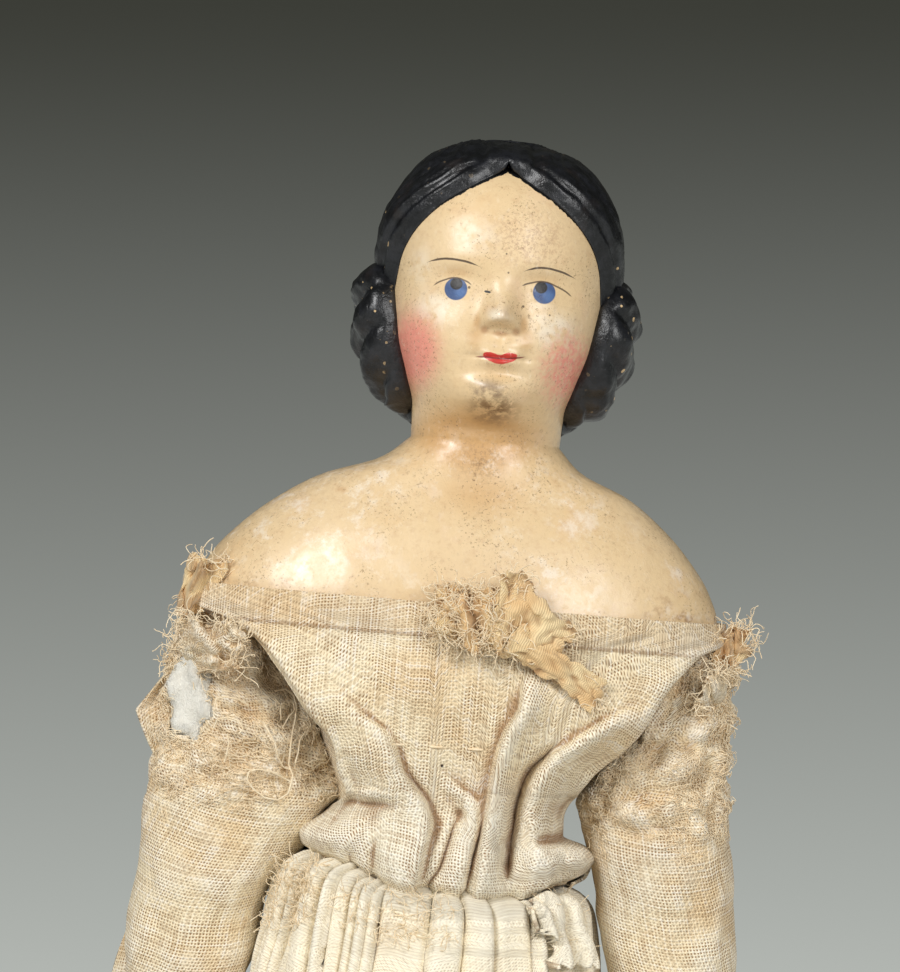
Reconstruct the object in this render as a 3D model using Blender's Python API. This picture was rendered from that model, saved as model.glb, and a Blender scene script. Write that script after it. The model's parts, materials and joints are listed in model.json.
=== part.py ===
"""Papier-mache shoulder-head doll on a stuffed linen body, modelled piece by piece.

Metres, +Z up, -Y to the front, +X to the doll's own left. The origin is the middle of the waist seam,
where the ring of a doll stand holds it.
"""

import math

import bmesh
import bpy
import numpy as np
from mathutils import Vector

# Fits and cloth
GAP = 0.0003  # clearance between pieces that touch
HAIR_GAP = 0.0006  # clearance under the hair, which is curved and faceted
LINEN = 0.001  # bodice and skirt cloth
HEM_FOLD = 0.0004  # extra thickness of the folded neckline
CASING_WALL = 0.0009  # torso bag
SLEEVE_WALL = 0.0009  # arm linen
SLEEVE_EASE = 0.0005  # room between the arm's filling and its linen
BODICE_EASE = 0.0015  # room between the shoulder plate and the bodice

# Head and shoulder plate, one hollow pressing in two halves
NECK_LEVEL = 0.079  # narrowest level of the neck above the waist seam
FACE_HEIGHT = 0.031  # neck to the widest level of the head
CRANIUM_HEIGHT = 0.021  # widest level to the crown
HEAD_WIDTH = 0.0396
FACE_DEPTH = 0.0204  # head axis to the forehead
SKULL_DEPTH = 0.024  # head axis to the back of the skull
NECK_WIDTH = 0.0268
NECK_FRONT = 0.0118
NECK_BACK = 0.0136
HEAD_SHIFT = 0.0027  # the head leans this far to the doll's left
PLATE_DROP = 0.041  # neck to the plate's lower rim
PLATE_WIDTH = 0.0944
PLATE_FRONT = 0.0224
PLATE_BACK = 0.0206
PLATE_SIDE_RISE = 0.008  # the rim is cut higher over the arms
SHELL_WALL = 0.0026
SECTION_POWER = 2.2  # squareness of the level sections
CRANIUM_POWER = 2.3  # squareness of the cranium's upright section

# Hair
HAIR_THICKNESS = 0.0026
HAIR_NAPE = 0.003  # lower edge of the hair above the neck level
PARTING_WIDTH = 0.0008
COIL_HEIGHT = 0.0056  # how far a side coil stands out from the hair
COIL_EDGE = 0.0009
COIL_LENGTH = 0.026
COIL_MIDDLE = 0.0175  # above the neck level
COIL_LOBES = 4

# Stitches that tie the plate to the torso
STITCH_SPREAD = 0.032
STITCH_RISE = 0.005  # above the plate's rim
STITCH_HOLE = 0.001
STITCH_THREAD = 0.0005
STITCH_KNOT = 0.0012
STITCH_KNOT_HEIGHT = 0.0006

# Torso, bodice and skirt
CHEST_WIDTH = 0.06  # torso bag under the plate
WAIST_WIDTH = 0.041  # inside of the bodice at the waist
WAIST_FRONT = 0.0172
WAIST_BACK = 0.0168
WAIST_EASE = 0.0015  # room between the torso bag and the bodice at the waist
TORSO_TOP = 0.066
HIP_WIDTH = 0.054
HIP_DEPTH = 0.037
HIP_LEVEL = -0.036  # sewn edge where the legs hang
HIP_SEAM_DEPTH = 0.0014
NECKLINE_LEVEL = 0.05
BAND_HEIGHT = 0.0034  # strip of the bodice that runs over the arm
ARMHOLE_FOOT = 0.012  # level where front and back of the bodice meet again
ARMHOLE_HOLLOW = 2.0  # how far the armhole's edge curves in, 1 being straight
BODICE_FOLDS = 10
BODICE_FOLD_DEPTH = 0.0013
SKIRT_LENGTH = 0.166
SKIRT_TOP_WIDTH = 0.059  # just below the gathers
SKIRT_ELBOW_WIDTH = 0.066  # beside the elbows
HEM_WIDTH = 0.124
HEM_DEPTH = 0.14
SKIRT_FOLDS = 14
HEM_FOLD_DEPTH = 0.0036

GATHER_FOLD_DEPTH = 0.0009  # folds just below the waist
FLAP_LENGTH = 0.0115  # torn tongue of the skirt
FLAP_LIFT = 0.0008  # its tip stands off this far

# Remnants of trimming
BOW_HEIGHT = 0.0135
BOW_SWELL = 0.0048  # how far it stands out
BOW_TAIL_DROP = 0.0125  # the tail's end below the neckline
TRIM_HEIGHT_RIGHT = 0.0085
TRIM_HEIGHT_LEFT = 0.0055
TRIM_SWELL = 0.0036

# Arms
SHOULDER_LEVEL = 0.0392
SHOULDER_INSET = 0.0097  # from the plate's side to the shoulder pivot
UPPER_ARM = 0.0692
ARM_WIDTH = 0.0252  # filling at the fullest place
ARM_DEPTH = 0.02
ELBOW_WIDTH = 0.017
ELBOW_ROOM = 0.0047  # between the skirt and the arm at the elbow
SLEEVE_START = 0.007
SLEEVE_END = 0.004  # the linen stops this far above the elbow
FOREARM = 0.071
HAND_DEPTH = 0.0148
THUMB_LENGTH = 0.011
THUMB_RADIUS = 0.0019
GATHER_RADIUS = 0.0036

# Legs and boots
LEG_SPREAD = 0.027
LEG_LENGTH = 0.15  # hip seam to the top of the boot
LEG_WIDTH = 0.022
BOOT_HEIGHT = 0.0282
BOOT_LENGTH = 0.044
BOOT_WIDTH = 0.0176
BOOT_HEEL = 0.0045  # the heel reaches this far behind the ankle
BOOT_CUFF = 0.002  # the boot's top stands out round the leg
SOLE_THICKNESS = 0.0016
SOLE_EDGE = 0.0006  # the sole stands out round the boot

# Mesh fineness
WELD = 1e-6
RING = 16
SHARP = math.radians(50)

# Colours and roughness
FLESH = (0.83, 0.62, 0.38), 0.35
HAIR = (0.012, 0.013, 0.017), 0.3
LINEN_COLOUR = (0.72, 0.57, 0.38), 0.9
SLEEVE_COLOUR = (0.66, 0.51, 0.33), 0.92
SCRAP_COLOUR = (0.6, 0.4, 0.2), 0.9
STUFFING = (0.85, 0.8, 0.7), 1.0
KID = (0.55, 0.35, 0.18), 0.6
BOOT_COLOUR = (0.08, 0.05, 0.035), 0.5
THREAD = (0.8, 0.75, 0.65), 0.9

PLATE_RIM = NECK_LEVEL - PLATE_DROP
WIDEST_LEVEL = NECK_LEVEL + FACE_HEIGHT
SHOULDER_X = PLATE_WIDTH / 2 - SHOULDER_INSET
ELBOW_LEVEL = SHOULDER_LEVEL - UPPER_ARM
ELBOW_X = SKIRT_ELBOW_WIDTH / 2 + ELBOW_ROOM + ELBOW_WIDTH / 2
LEG_X = LEG_SPREAD / 2
BOOT_TOP = HIP_LEVEL - LEG_LENGTH
SIDES = {"left": 1, "right": -1}

# Joint axes, each with its parent
PIVOTS = {
    "waist": (Vector((0, 0, 0)), None),
    **{f"shoulder_{s}": (Vector((k * SHOULDER_X, 0, SHOULDER_LEVEL)), "waist") for s, k in SIDES.items()},
    **{f"elbow_{s}": (Vector((k * ELBOW_X, 0, ELBOW_LEVEL)), f"shoulder_{s}") for s, k in SIDES.items()},
    **{f"hip_{s}": (Vector((k * LEG_X, 0, HIP_LEVEL)), "waist") for s, k in SIDES.items()},
}


def curve(*points):
    """A smooth function through (x, y) points that never overshoots them and is level beyond both ends."""
    xs, ys = (np.array(column, float) for column in zip(*sorted(points)))
    steps = np.diff(xs)
    slopes = np.diff(ys) / steps
    tangents = np.concatenate([slopes[:1], np.zeros(len(xs) - 2), slopes[-1:]])
    for i in range(1, len(xs) - 1):
        if slopes[i - 1] * slopes[i] > 0:
            before = 2 * steps[i] + steps[i - 1]
            after = steps[i] + 2 * steps[i - 1]
            tangents[i] = (before + after) / (before / slopes[i - 1] + after / slopes[i])

    def value(x):
        x = min(max(x, xs[0]), xs[-1])
        i = min(int(np.searchsorted(xs, x, side="right")) - 1, len(steps) - 1)
        t = (x - xs[i]) / steps[i]
        rest = 1 - t
        ends = ys[i] * (1 + 2 * t) * rest * rest + ys[i + 1] * t * t * (3 - 2 * t)
        turns = steps[i] * t * rest * (tangents[i] * rest - tangents[i + 1] * t)
        return float(ends + turns)

    return value


def mix(start, end, share):
    return start + (end - start) * share


def spread(start, end, count):
    return [mix(start, end, i / (count - 1)) for i in range(count)]


def rounded(value, power=SECTION_POWER):
    """Sine or cosine bent so that it draws a slightly squared circle."""
    return math.copysign(abs(value) ** (2 / power), value)


def level_point(half_width, front, back, angle, z, shift=0.0):
    """Point of a level section: angle 0 faces the front, a quarter turn the doll's left."""
    depth = front if math.cos(angle) >= 0 else back
    return Vector((shift + half_width * rounded(math.sin(angle)), -depth * rounded(math.cos(angle)), z))


def turn(count):
    """Angles of a full ring."""
    return [2 * math.pi * i / count for i in range(count)]


def face(bm, *corners):
    bm.faces.new(corners)


def shell(outer, inner, wrap=False, pole=False):
    """Closed wall between two equal grids of points. With pole, the first row is a single point."""
    rows = len(outer)
    cols = len(outer[0])
    span = cols if wrap else cols - 1
    bm = bmesh.new()
    out, inn = ([[bm.verts.new(point) for point in row] for row in grid] for grid in (outer, inner))
    for c in range(span):
        n = (c + 1) % cols
        for r in range(rows - 1):
            face(bm, out[r][c], out[r][n], out[r + 1][n], out[r + 1][c])
            face(bm, inn[r][c], inn[r + 1][c], inn[r + 1][n], inn[r][n])
        for r in [rows - 1] if pole else [0, rows - 1]:
            face(bm, out[r][c], out[r][n], inn[r][n], inn[r][c])
    for c in [] if wrap else [0, cols - 1]:
        for r in range(rows - 1):
            face(bm, out[r][c], out[r + 1][c], inn[r + 1][c], inn[r][c])
    bmesh.ops.remove_doubles(bm, verts=bm.verts, dist=WELD)
    bmesh.ops.recalc_face_normals(bm, faces=bm.faces)
    return bm


def loft(rings):
    """Closed solid through rings of points, with a fan at each end."""
    bm = bmesh.new()
    loops = [[bm.verts.new(point) for point in ring] for ring in rings]
    for upper, lower in zip(loops, loops[1:]):
        for a, b, c, d in zip(upper, upper[1:] + upper[:1], lower[1:] + lower[:1], lower):
            face(bm, a, b, c, d)
    for loop in (loops[0], loops[-1]):
        middle = bm.verts.new(sum((vert.co for vert in loop), Vector()) / len(loop))
        for a, b in zip(loop, loop[1:] + loop[:1]):
            face(bm, a, b, middle)
    bmesh.ops.recalc_face_normals(bm, faces=bm.faces)
    return bm


def material(name, finish):
    colour, roughness = finish
    made = bpy.data.materials.new(name)
    made.use_nodes = True
    made.diffuse_color = (*colour, 1)
    shader = made.node_tree.nodes["Principled BSDF"]
    shader.inputs["Base Color"].default_value = (*colour, 1)
    shader.inputs["Roughness"].default_value = roughness
    return made


def piece(name, bm, finish, pivot="waist"):
    """Named object from a bmesh in world coordinates, with its origin on its pivot."""
    bmesh.ops.translate(bm, verts=bm.verts, vec=-PIVOTS[pivot][0])
    mesh = bpy.data.meshes.new(name)
    bm.to_mesh(mesh)
    bm.free()
    mesh.shade_smooth()
    mesh.set_sharp_from_angle(angle=SHARP)
    mesh.materials.append(material(name, finish))
    made = bpy.data.objects.new(name, mesh)
    made.parent = bpy.data.objects[f"{pivot}_pivot"]
    bpy.context.collection.objects.link(made)
    return made


def boolean(target, tool, operation):
    """Cut or join a hidden helper piece."""
    tool.hide_render = True
    tool.display_type = "WIRE"
    cut = target.modifiers.new(tool.name, "BOOLEAN")
    cut.operation = operation
    cut.solver = "EXACT"
    cut.object = tool


def make_pivots():
    """Clear the scene and put an empty on each joint axis."""
    for old in list(bpy.data.objects):
        bpy.data.objects.remove(old)
    for name, (place, parent) in PIVOTS.items():
        empty = bpy.data.objects.new(f"{name}_pivot", None)
        empty.empty_display_size = GATHER_RADIUS
        bpy.context.collection.objects.link(empty)
        empty.location = place
        if parent:
            empty.parent = bpy.data.objects[f"{parent}_pivot"]
            empty.location = place - PIVOTS[parent][0]


# Head: how the sections narrow from the widest level to the neck, and widen from there to the plate's rim
JAW = curve((0, 1), (0.2, 0.97), (0.42, 0.81), (0.65, 0.38), (0.82, 0.06), (1, 0))
FACE = curve((0, 1), (0.42, 0.99), (0.65, 0.88), (0.75, 0.74), (0.85, 0.36), (0.94, 0.06), (1, 0))
NAPE = curve((0, 1), (0.25, 0.97), (0.5, 0.75), (0.75, 0.3), (1, 0))
SHOULDER = curve(
    (0, 0), (0.1, 0.136), (0.195, 0.42), (0.305, 0.62), (0.415, 0.77), (0.585, 0.935), (0.707, 0.994), (1, 1)
)
BREAST = curve((0, 0), (0.17, 0.13), (0.46, 0.66), (0.8, 0.97), (1, 1))
# Hairline angle from the front, by height between neck and crown
HAIRLINE = curve(
    (0.058, 84), (0.21, 80), (0.346, 77), (0.5, 68), (0.615, 61), (0.79, 37), (0.904, 14), (0.952, 2), (1, 0)
)
# Raised and sunken features of the face: across, up from the neck, spread across, spread up, height
FACE_FEATURES = (
    (0.0, 0.0213, 0.0021, 0.0019, 0.0042),  # nose tip
    (0.0, 0.0255, 0.0016, 0.003, 0.0022),  # nose bridge
    (0.008, 0.0275, 0.003, 0.0021, -0.0012),  # eye socket
    (-0.008, 0.0275, 0.003, 0.0021, -0.0012),  # eye socket
    (0.0105, 0.0175, 0.004, 0.004, 0.0006),  # cheek
    (-0.0105, 0.0175, 0.004, 0.004, 0.0006),  # cheek
    (0.0008, 0.0158, 0.0034, 0.0014, 0.0011),  # lips
    (0.0, 0.0085, 0.0042, 0.0026, 0.0022),  # chin
)


def head_section(z):
    """Half-width, front, back and sideways shift of the bare head, neck or plate at a level."""
    if z >= NECK_LEVEL:
        share = (WIDEST_LEVEL - z) / FACE_HEIGHT
        width = mix(NECK_WIDTH, HEAD_WIDTH, JAW(share)) / 2
        front = mix(NECK_FRONT, FACE_DEPTH, FACE(share))
        return width, front, mix(NECK_BACK, SKULL_DEPTH, NAPE(share)), HEAD_SHIFT
    share = (NECK_LEVEL - z) / PLATE_DROP
    out = SHOULDER(share)
    width = mix(NECK_WIDTH, PLATE_WIDTH, out) / 2
    front = mix(NECK_FRONT, PLATE_FRONT, BREAST(share))
    return width, front, mix(NECK_BACK, PLATE_BACK, BREAST(share)), HEAD_SHIFT * (1 - out)


def head_point(level, angle):
    """Surface of head and plate: level 0 is the crown, 1 the widest level, 2 the neck and 3 the rim."""
    if level <= 1:
        lean = level * math.pi / 2
        z = WIDEST_LEVEL + CRANIUM_HEIGHT * rounded(math.cos(lean), CRANIUM_POWER)
        reach = rounded(math.sin(lean), CRANIUM_POWER)
        width, front, back = (size * reach for size in (HEAD_WIDTH / 2, FACE_DEPTH, SKULL_DEPTH))
        return level_point(width, front, back, angle, z, HEAD_SHIFT)
    if level <= 2:
        z = WIDEST_LEVEL - (level - 1) * FACE_HEIGHT
    else:
        z = NECK_LEVEL - (level - 2) * (PLATE_DROP - PLATE_SIDE_RISE * abs(math.sin(angle)) ** 3)
    width, front, back, shift = head_section(z)
    return level_point(width, front, back, angle, z, shift)


def head_offset(level, angle, distance):
    """Point above (or, below zero, under) the surface of the head."""
    step = 0.01
    if level < step:
        return head_point(level, angle) + Vector((0, 0, distance))
    down = head_point(min(level + step, 3), angle) - head_point(level - step, angle)
    across = head_point(level, angle + step) - head_point(level, angle - step)
    return head_point(level, angle) + down.cross(across).normalized() * distance


def face_relief(point):
    """How far the features stand out at a point of the face."""
    x = point.x - HEAD_SHIFT
    up = point.z - NECK_LEVEL
    return sum(
        height * math.exp(-(((x - across) / wide) ** 2 + ((up - rise) / tall) ** 2) / 2)
        for across, rise, wide, tall, height in FACE_FEATURES
    )


def head_shells():
    """The two pressed halves, glued along a seam down both sides."""
    front_levels = spread(0, 1, 5) + spread(1, 2, 14)[1:] + spread(2, 3, 7)[1:]
    back_levels = spread(0, 1, 5) + spread(1, 2, 7)[1:] + spread(2, 3, 7)[1:]
    front_angles = [math.copysign(abs(u) ** 1.3, u) * math.pi / 2 for u in spread(-1, 1, 17)]
    back_angles = spread(math.pi / 2, 3 * math.pi / 2, 11)
    made = []
    for name, levels, angles, way in (
        ("head_front_shell", front_levels, front_angles, -1),
        ("head_back_shell", back_levels, back_angles, 1),
    ):
        seam = Vector((0, way * GAP / 2, 0))
        outer = [[head_point(level, angle) + seam for angle in angles] for level in levels]
        inner = [[head_offset(level, angle, -SHELL_WALL) + seam for angle in angles] for level in levels]
        if way < 0:
            for point in [point for row in outer for point in row]:
                point.y -= face_relief(point)
        made.append(piece(name, shell(outer, inner, pole=True), FLESH))
    return made


def hair_level(z):
    return 1 + (WIDEST_LEVEL - z) / FACE_HEIGHT


def hair_cap():
    """Built-up hair, parted in the middle and combed down behind the face."""
    levels = [0] + spread(0.15, 1, 9) + spread(1, hair_level(NECK_LEVEL + HAIR_NAPE), 7)[1:]
    crown = FACE_HEIGHT + CRANIUM_HEIGHT
    outer = []
    inner = []
    for level in levels:
        side = head_point(level, math.pi / 2)
        parting = math.asin(min(1, PARTING_WIDTH / 2 / max(side.x - HEAD_SHIFT, PARTING_WIDTH)))
        start = max(math.radians(HAIRLINE((side.z - NECK_LEVEL) / crown)), parting)
        angles = spread(start, 2 * math.pi - start, 27)
        outer.append([head_offset(level, angle, HAIR_THICKNESS) for angle in angles])
        inner.append([head_offset(level, angle, HAIR_GAP) for angle in angles])
    piece("hair_cap", shell(outer, inner, pole=True), HAIR)


def hair_coil(side):
    """Plaited coil over the ear, a lobed swelling on the hair."""
    middle_angle = math.radians(93)
    half_turn = math.radians(27)

    def ring(reach, height):
        points = []
        for angle in turn(RING + 4):
            z = NECK_LEVEL + COIL_MIDDLE + COIL_LENGTH / 2 * reach * math.sin(angle)
            lobes = 1 - 0.12 * (1 - math.cos(COIL_LOBES * 2 * math.pi * (z - NECK_LEVEL) / COIL_LENGTH))
            around = middle_angle + half_turn * reach * math.cos(angle)
            points.append(head_offset(hair_level(z), SIDES[side] * around, HAIR_THICKNESS + height * lobes))
        return points

    seat = [ring(reach, HAIR_GAP) for reach in spread(0.25, 1, 5)]
    crest = []
    for reach in spread(1, 0.2, 6):
        crest.append(ring(reach, mix(COIL_EDGE, COIL_HEIGHT, (1 - reach**2) ** 0.5)))
    piece(f"hair_coil_{side}", loft(seat + crest), HAIR)


def stitches(shells):
    """Thread knots through sewing holes near the plate's lower edge."""
    z = PLATE_RIM + STITCH_RISE
    width, front, back, _ = head_section(z)
    for half, target, way, depth in (("front", shells[0], -1, front), ("back", shells[1], 1, back)):
        for side, k in SIDES.items():
            x = k * STITCH_SPREAD / 2
            y = way * (depth * (1 - (abs(x) / width) ** SECTION_POWER) ** (1 / SECTION_POWER) + GAP)

            def disc(radius, out):
                place = Vector((x, y + way * out, z))
                return [place + radius * Vector((math.cos(a), 0, math.sin(a))) for a in turn(8)]

            hole = piece(
                f"hole_{half}_{side}",
                loft([disc(STITCH_HOLE, -3 * SHELL_WALL), disc(STITCH_HOLE, SHELL_WALL)]),
                THREAD,
            )
            boolean(target, hole, "DIFFERENCE")
            thread = [disc(STITCH_THREAD, -SHELL_WALL), disc(STITCH_THREAD, GAP)]
            knot = [disc(STITCH_KNOT, GAP), disc(STITCH_KNOT, GAP + STITCH_KNOT_HEIGHT)]
            piece(f"plate_stitch_{half}_{side}", loft(thread + knot), THREAD)


# Torso and bodice: how the half-widths and depths change from the waist (0) to the plate (1), by level
TORSO_FLARE = curve(
    (0, 0.115), (0.2, 0.03), (0.3, 0), (0.4, 0.02), (0.53, 0.12), (0.64, 0.27), (0.8, 0.58), (0.95, 1)
)
BODICE_FLARE = curve(
    (0, 0.07), (0.1, 0.13), (0.21, 0.05), (0.32, 0), (0.4, 0.04), (0.53, 0.21), (0.64, 0.4), (0.8, 0.74),
    (1, 1),
)
BODICE_SWELL = curve((0, 0), (0.16, 0.06), (0.32, 0.2), (0.53, 0.485), (0.8, 0.85), (1, 1))
HIP_SWELL = curve((0, 0), (0.35, 0.62), (0.62, 1), (0.83, 0.95), (1, 0.88))
HIP_TAPER = curve((0, 0), (0.35, 0.62), (0.62, 1), (0.83, 0.45), (1, 0))


def plate_inside(z):
    """Half-width, front and back of the room inside the shoulder plate."""
    width, front, back, _ = head_section(z)
    lower = head_section(z - 2 * SHELL_WALL)[0]
    slope = max(0.0, (lower - width) / (2 * SHELL_WALL))
    wall = SHELL_WALL * math.hypot(1, slope) + GAP * 2
    return width - wall - HEAD_SHIFT, front - SHELL_WALL * 1.35 - GAP, back - SHELL_WALL * 1.35 - GAP


def torso_section(z):
    """Half-width, front and back of the stuffed torso bag at a level."""
    narrow = WAIST_WIDTH / 2 - WAIST_EASE - 0.115 * (CHEST_WIDTH - WAIST_WIDTH) / 2
    if z >= 0:
        share = z / PLATE_RIM
        inside = plate_inside(max(z, PLATE_RIM + PLATE_SIDE_RISE))
        swell = min(1, BODICE_SWELL(share))
        width = min(mix(narrow, CHEST_WIDTH / 2, TORSO_FLARE(share)), inside[0])
        front = min(mix(WAIST_FRONT - WAIST_EASE / 2, inside[1], swell), inside[1])
        return width, front, min(mix(WAIST_BACK - WAIST_EASE / 2, inside[2], swell), inside[2])
    share = z / HIP_LEVEL
    top = torso_section(0)
    width = mix(top[0], HIP_WIDTH / 2, HIP_SWELL(share))
    depths = []
    for waist in top[1:]:
        seam = mix(HIP_SEAM_DEPTH / 2, waist, max(0, 1 - 2 * share))
        depths.append(mix(seam if share > 0.5 else waist, HIP_DEPTH / 2, HIP_TAPER(share)))
    return width, depths[0], depths[1]


def torso():
    """Linen bag, open at the neck, and the filling that it holds."""
    levels = spread(TORSO_TOP, PLATE_RIM, 5) + spread(PLATE_RIM, 0, 7)[1:] + spread(0, HIP_LEVEL, 7)[1:]
    angles = turn(RING)

    def rings(chosen, inset):
        made = []
        for z in chosen:
            width, front, back = (max(size - inset, inset / 2 + GAP) for size in torso_section(z))
            made.append([level_point(width, front, back, angle, z) for angle in angles])
        return made

    outer = rings(levels, 0)
    inner = rings(levels[:-2], CASING_WALL)
    piece("torso_casing", loft(inner[::-1] + outer), LINEN_COLOUR)
    piece("torso_stuffing", loft(rings(levels[:-3], CASING_WALL + GAP)), STUFFING)


def bodice_section(z, out=0.0):
    """Half-width, front and back of the bodice's inner face at a level, moved out by a distance."""
    if z >= PLATE_RIM:
        width, front, back, _ = head_section(min(z, NECKLINE_LEVEL))
        return width + BODICE_EASE + out, front + BODICE_EASE + out, back + BODICE_EASE + out
    share = z / PLATE_RIM
    full = bodice_section(PLATE_RIM)
    width = mix(WAIST_WIDTH / 2, full[0], BODICE_FLARE(share))
    front = mix(WAIST_FRONT, full[1], BODICE_SWELL(share))
    return width + out, front + out, mix(WAIST_BACK, full[2], BODICE_SWELL(share)) + out


ARMHOLE_ROWS = (0.97, 0.92, 0.83, 0.69, 0.54, 0.38, 0.22, 0.09)


def bodice_edge(z):
    """Largest angle of a bodice panel: the side seam, or the edge of the armhole above it."""
    band = NECKLINE_LEVEL - BAND_HEIGHT
    seam = math.pi / 2 - GAP / 2 / (WAIST_WIDTH / 2)
    if z >= band or z <= ARMHOLE_FOOT:
        return seam
    foot = bodice_section(ARMHOLE_FOOT)[0]
    height = (z - ARMHOLE_FOOT) / (band - ARMHOLE_FOOT)
    reach = mix(foot, bodice_section(band)[0], height**ARMHOLE_HOLLOW)
    share = min(1, reach / bodice_section(z)[0])
    return min(seam, math.asin(share ** (SECTION_POWER / 2)))


def bodice(name, middle):
    """Front or back of the bodice, with a straight neckline and folds drawn in to the waist."""
    band = NECKLINE_LEVEL - BAND_HEIGHT
    armhole = [mix(ARMHOLE_FOOT, band, share) for share in ARMHOLE_ROWS]
    levels = [NECKLINE_LEVEL, band] + armhole + spread(ARMHOLE_FOOT, 0, 5)
    outer = []
    inner = []
    for z in levels:
        gather = BODICE_FOLD_DEPTH * max(0.0, 1 - z / (PLATE_RIM * 0.75))
        thick = LINEN + (HEM_FOLD if z >= band else 0)
        rows = ([], [])
        for u in spread(-1, 1, 21):
            angle = middle + u * bodice_edge(z)
            fold = gather * (0.5 - 0.5 * math.cos(BODICE_FOLDS * angle))
            for row, out in zip(rows, (fold + thick, fold)):
                row.append(level_point(*bodice_section(z, out), angle, z))
        outer.append(rows[0])
        inner.append(rows[1])
    piece(name, shell(outer, inner), LINEN_COLOUR)


def scrap(name, middle, across, height, thickness):
    """Torn remnant lying on the bodice: middle level, height and thickness change along its angle."""
    stations = spread(0, 1, 9)
    outer = []
    inner = []
    for row, v in enumerate(spread(1, -1, 5)):
        over = []
        under = []
        for column, s in enumerate(stations):
            angle = math.radians(mix(across[0], across[1], s))
            z = middle(s) + v * height(s) / 2
            base = LINEN + HEM_FOLD + GAP
            crumple = 0.72 + 0.28 * math.cos(2.1 * row + 1.7 * column)
            out = base + thickness(s) * (1 - 0.6 * v * v) * crumple
            over.append(level_point(*bodice_section(z, out), angle, z))
            under.append(level_point(*bodice_section(z, base), angle, z))
        outer.append(over)
        inner.append(under)
    piece(name, shell(outer, inner), SCRAP_COLOUR)


def scraps():
    """What is left of the bow at the neckline and of the trimming on both shoulders."""
    line = NECKLINE_LEVEL
    sink = curve((0, 0.16), (0.35, 0.04), (0.6, 0.32), (1, 1))
    tall = curve((0, 0.52), (0.3, 1), (0.6, 0.81), (0.8, 0.44), (1, 0.19))
    swell = curve((0, 0.52), (0.3, 1), (0.7, 0.83), (1, 0.25))
    scrap(
        "neckline_scrap",
        lambda s: line - BOW_TAIL_DROP * sink(s),
        (-4, 35),
        lambda s: BOW_HEIGHT * tall(s),
        lambda s: BOW_SWELL * swell(s),
    )
    low = line - BAND_HEIGHT
    for side, k, tall in (("right", -1, TRIM_HEIGHT_RIGHT), ("left", 1, TRIM_HEIGHT_LEFT)):
        scrap(
            f"shoulder_scrap_{side}",
            curve((0, low + tall / 2 + GAP), (1, low + tall / 2 + GAP)),
            (k * 62, k * 84),
            curve((0, tall * 0.5), (0.5, tall), (1, tall * 0.7)),
            curve((0, TRIM_SWELL * 0.42), (0.5, TRIM_SWELL), (1, TRIM_SWELL * 0.83)),
        )


# Skirt: outermost half-width and depth from the waist down, by share of the length
SKIRT_STATIONS = (0, 0.018, 0.048, 0.1, 0.18, 0.27, 0.42, 0.57, 0.8, 1)


def skirt_section(z):
    """Half-width, depth and fold depth of the skirt's outer face at a level."""
    share = -z / SKIRT_LENGTH
    waist, waist_depth = bodice_section(0, LINEN)[:2]
    top = SKIRT_TOP_WIDTH / 2
    elbow = SKIRT_ELBOW_WIDTH / 2
    hem = HEM_WIDTH / 2
    upper = mix(waist, top, 0.7)
    lower = mix(elbow, hem, 0.22)
    width = curve((0, waist), (0.018, upper), (0.05, top), (0.18, elbow), (0.42, lower), (1, hem))
    full = HIP_DEPTH / 2 + WAIST_EASE + 2 * LINEN
    hem_depth = HEM_DEPTH / 2
    upper_depth = mix(waist_depth, full, 0.7)
    lower_depth = mix(full, hem_depth, 0.09)
    depth = curve((0, waist_depth), (0.018, upper_depth), (0.05, full), (0.13, lower_depth), (1, hem_depth))
    fold = curve((0, 0), (0.05, GATHER_FOLD_DEPTH), (0.2, GATHER_FOLD_DEPTH * 1.2), (1, HEM_FOLD_DEPTH))
    return width(share), depth(share), fold(share)


def skirt():
    """Gathered skirt of one width of linen, falling in folds."""
    outer = []
    inner = []
    for share in SKIRT_STATIONS:
        z = -GAP - share * (SKIRT_LENGTH - GAP)
        width, depth, fold = skirt_section(z)
        rows = ([], [])
        for angle in turn(SKIRT_FOLDS * 4):
            dip = fold * (0.5 - 0.5 * math.cos(SKIRT_FOLDS * angle))
            for row, thick in zip(rows, (0, LINEN)):
                size = dip + thick
                row.append(level_point(width - size, depth - size, depth - size, angle, z))
        outer.append(rows[0])
        inner.append(rows[1])
    piece("skirt", shell(outer, inner, wrap=True), LINEN_COLOUR)


def skirt_flap():
    """Torn tongue of skirt cloth that hangs over the gathers on the doll's left."""
    outer = []
    inner = []
    for v in spread(0, 1, 6):
        z = -2 * GAP - LINEN * 1.5 - v * FLAP_LENGTH
        width, depth, _ = skirt_section(z)
        rows = ([], [])
        for u in spread(-1, 1, 6):
            angle = math.radians(52 + u * (13 - 4 * v))
            for row, out in zip(rows, (2 * GAP + LINEN + FLAP_LIFT * v, 2 * GAP)):
                row.append(level_point(width + out, depth + out, depth + out, angle, z))
        outer.append(rows[0])
        inner.append(rows[1])
    piece("skirt_flap", shell(outer, inner), LINEN_COLOUR)


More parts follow.
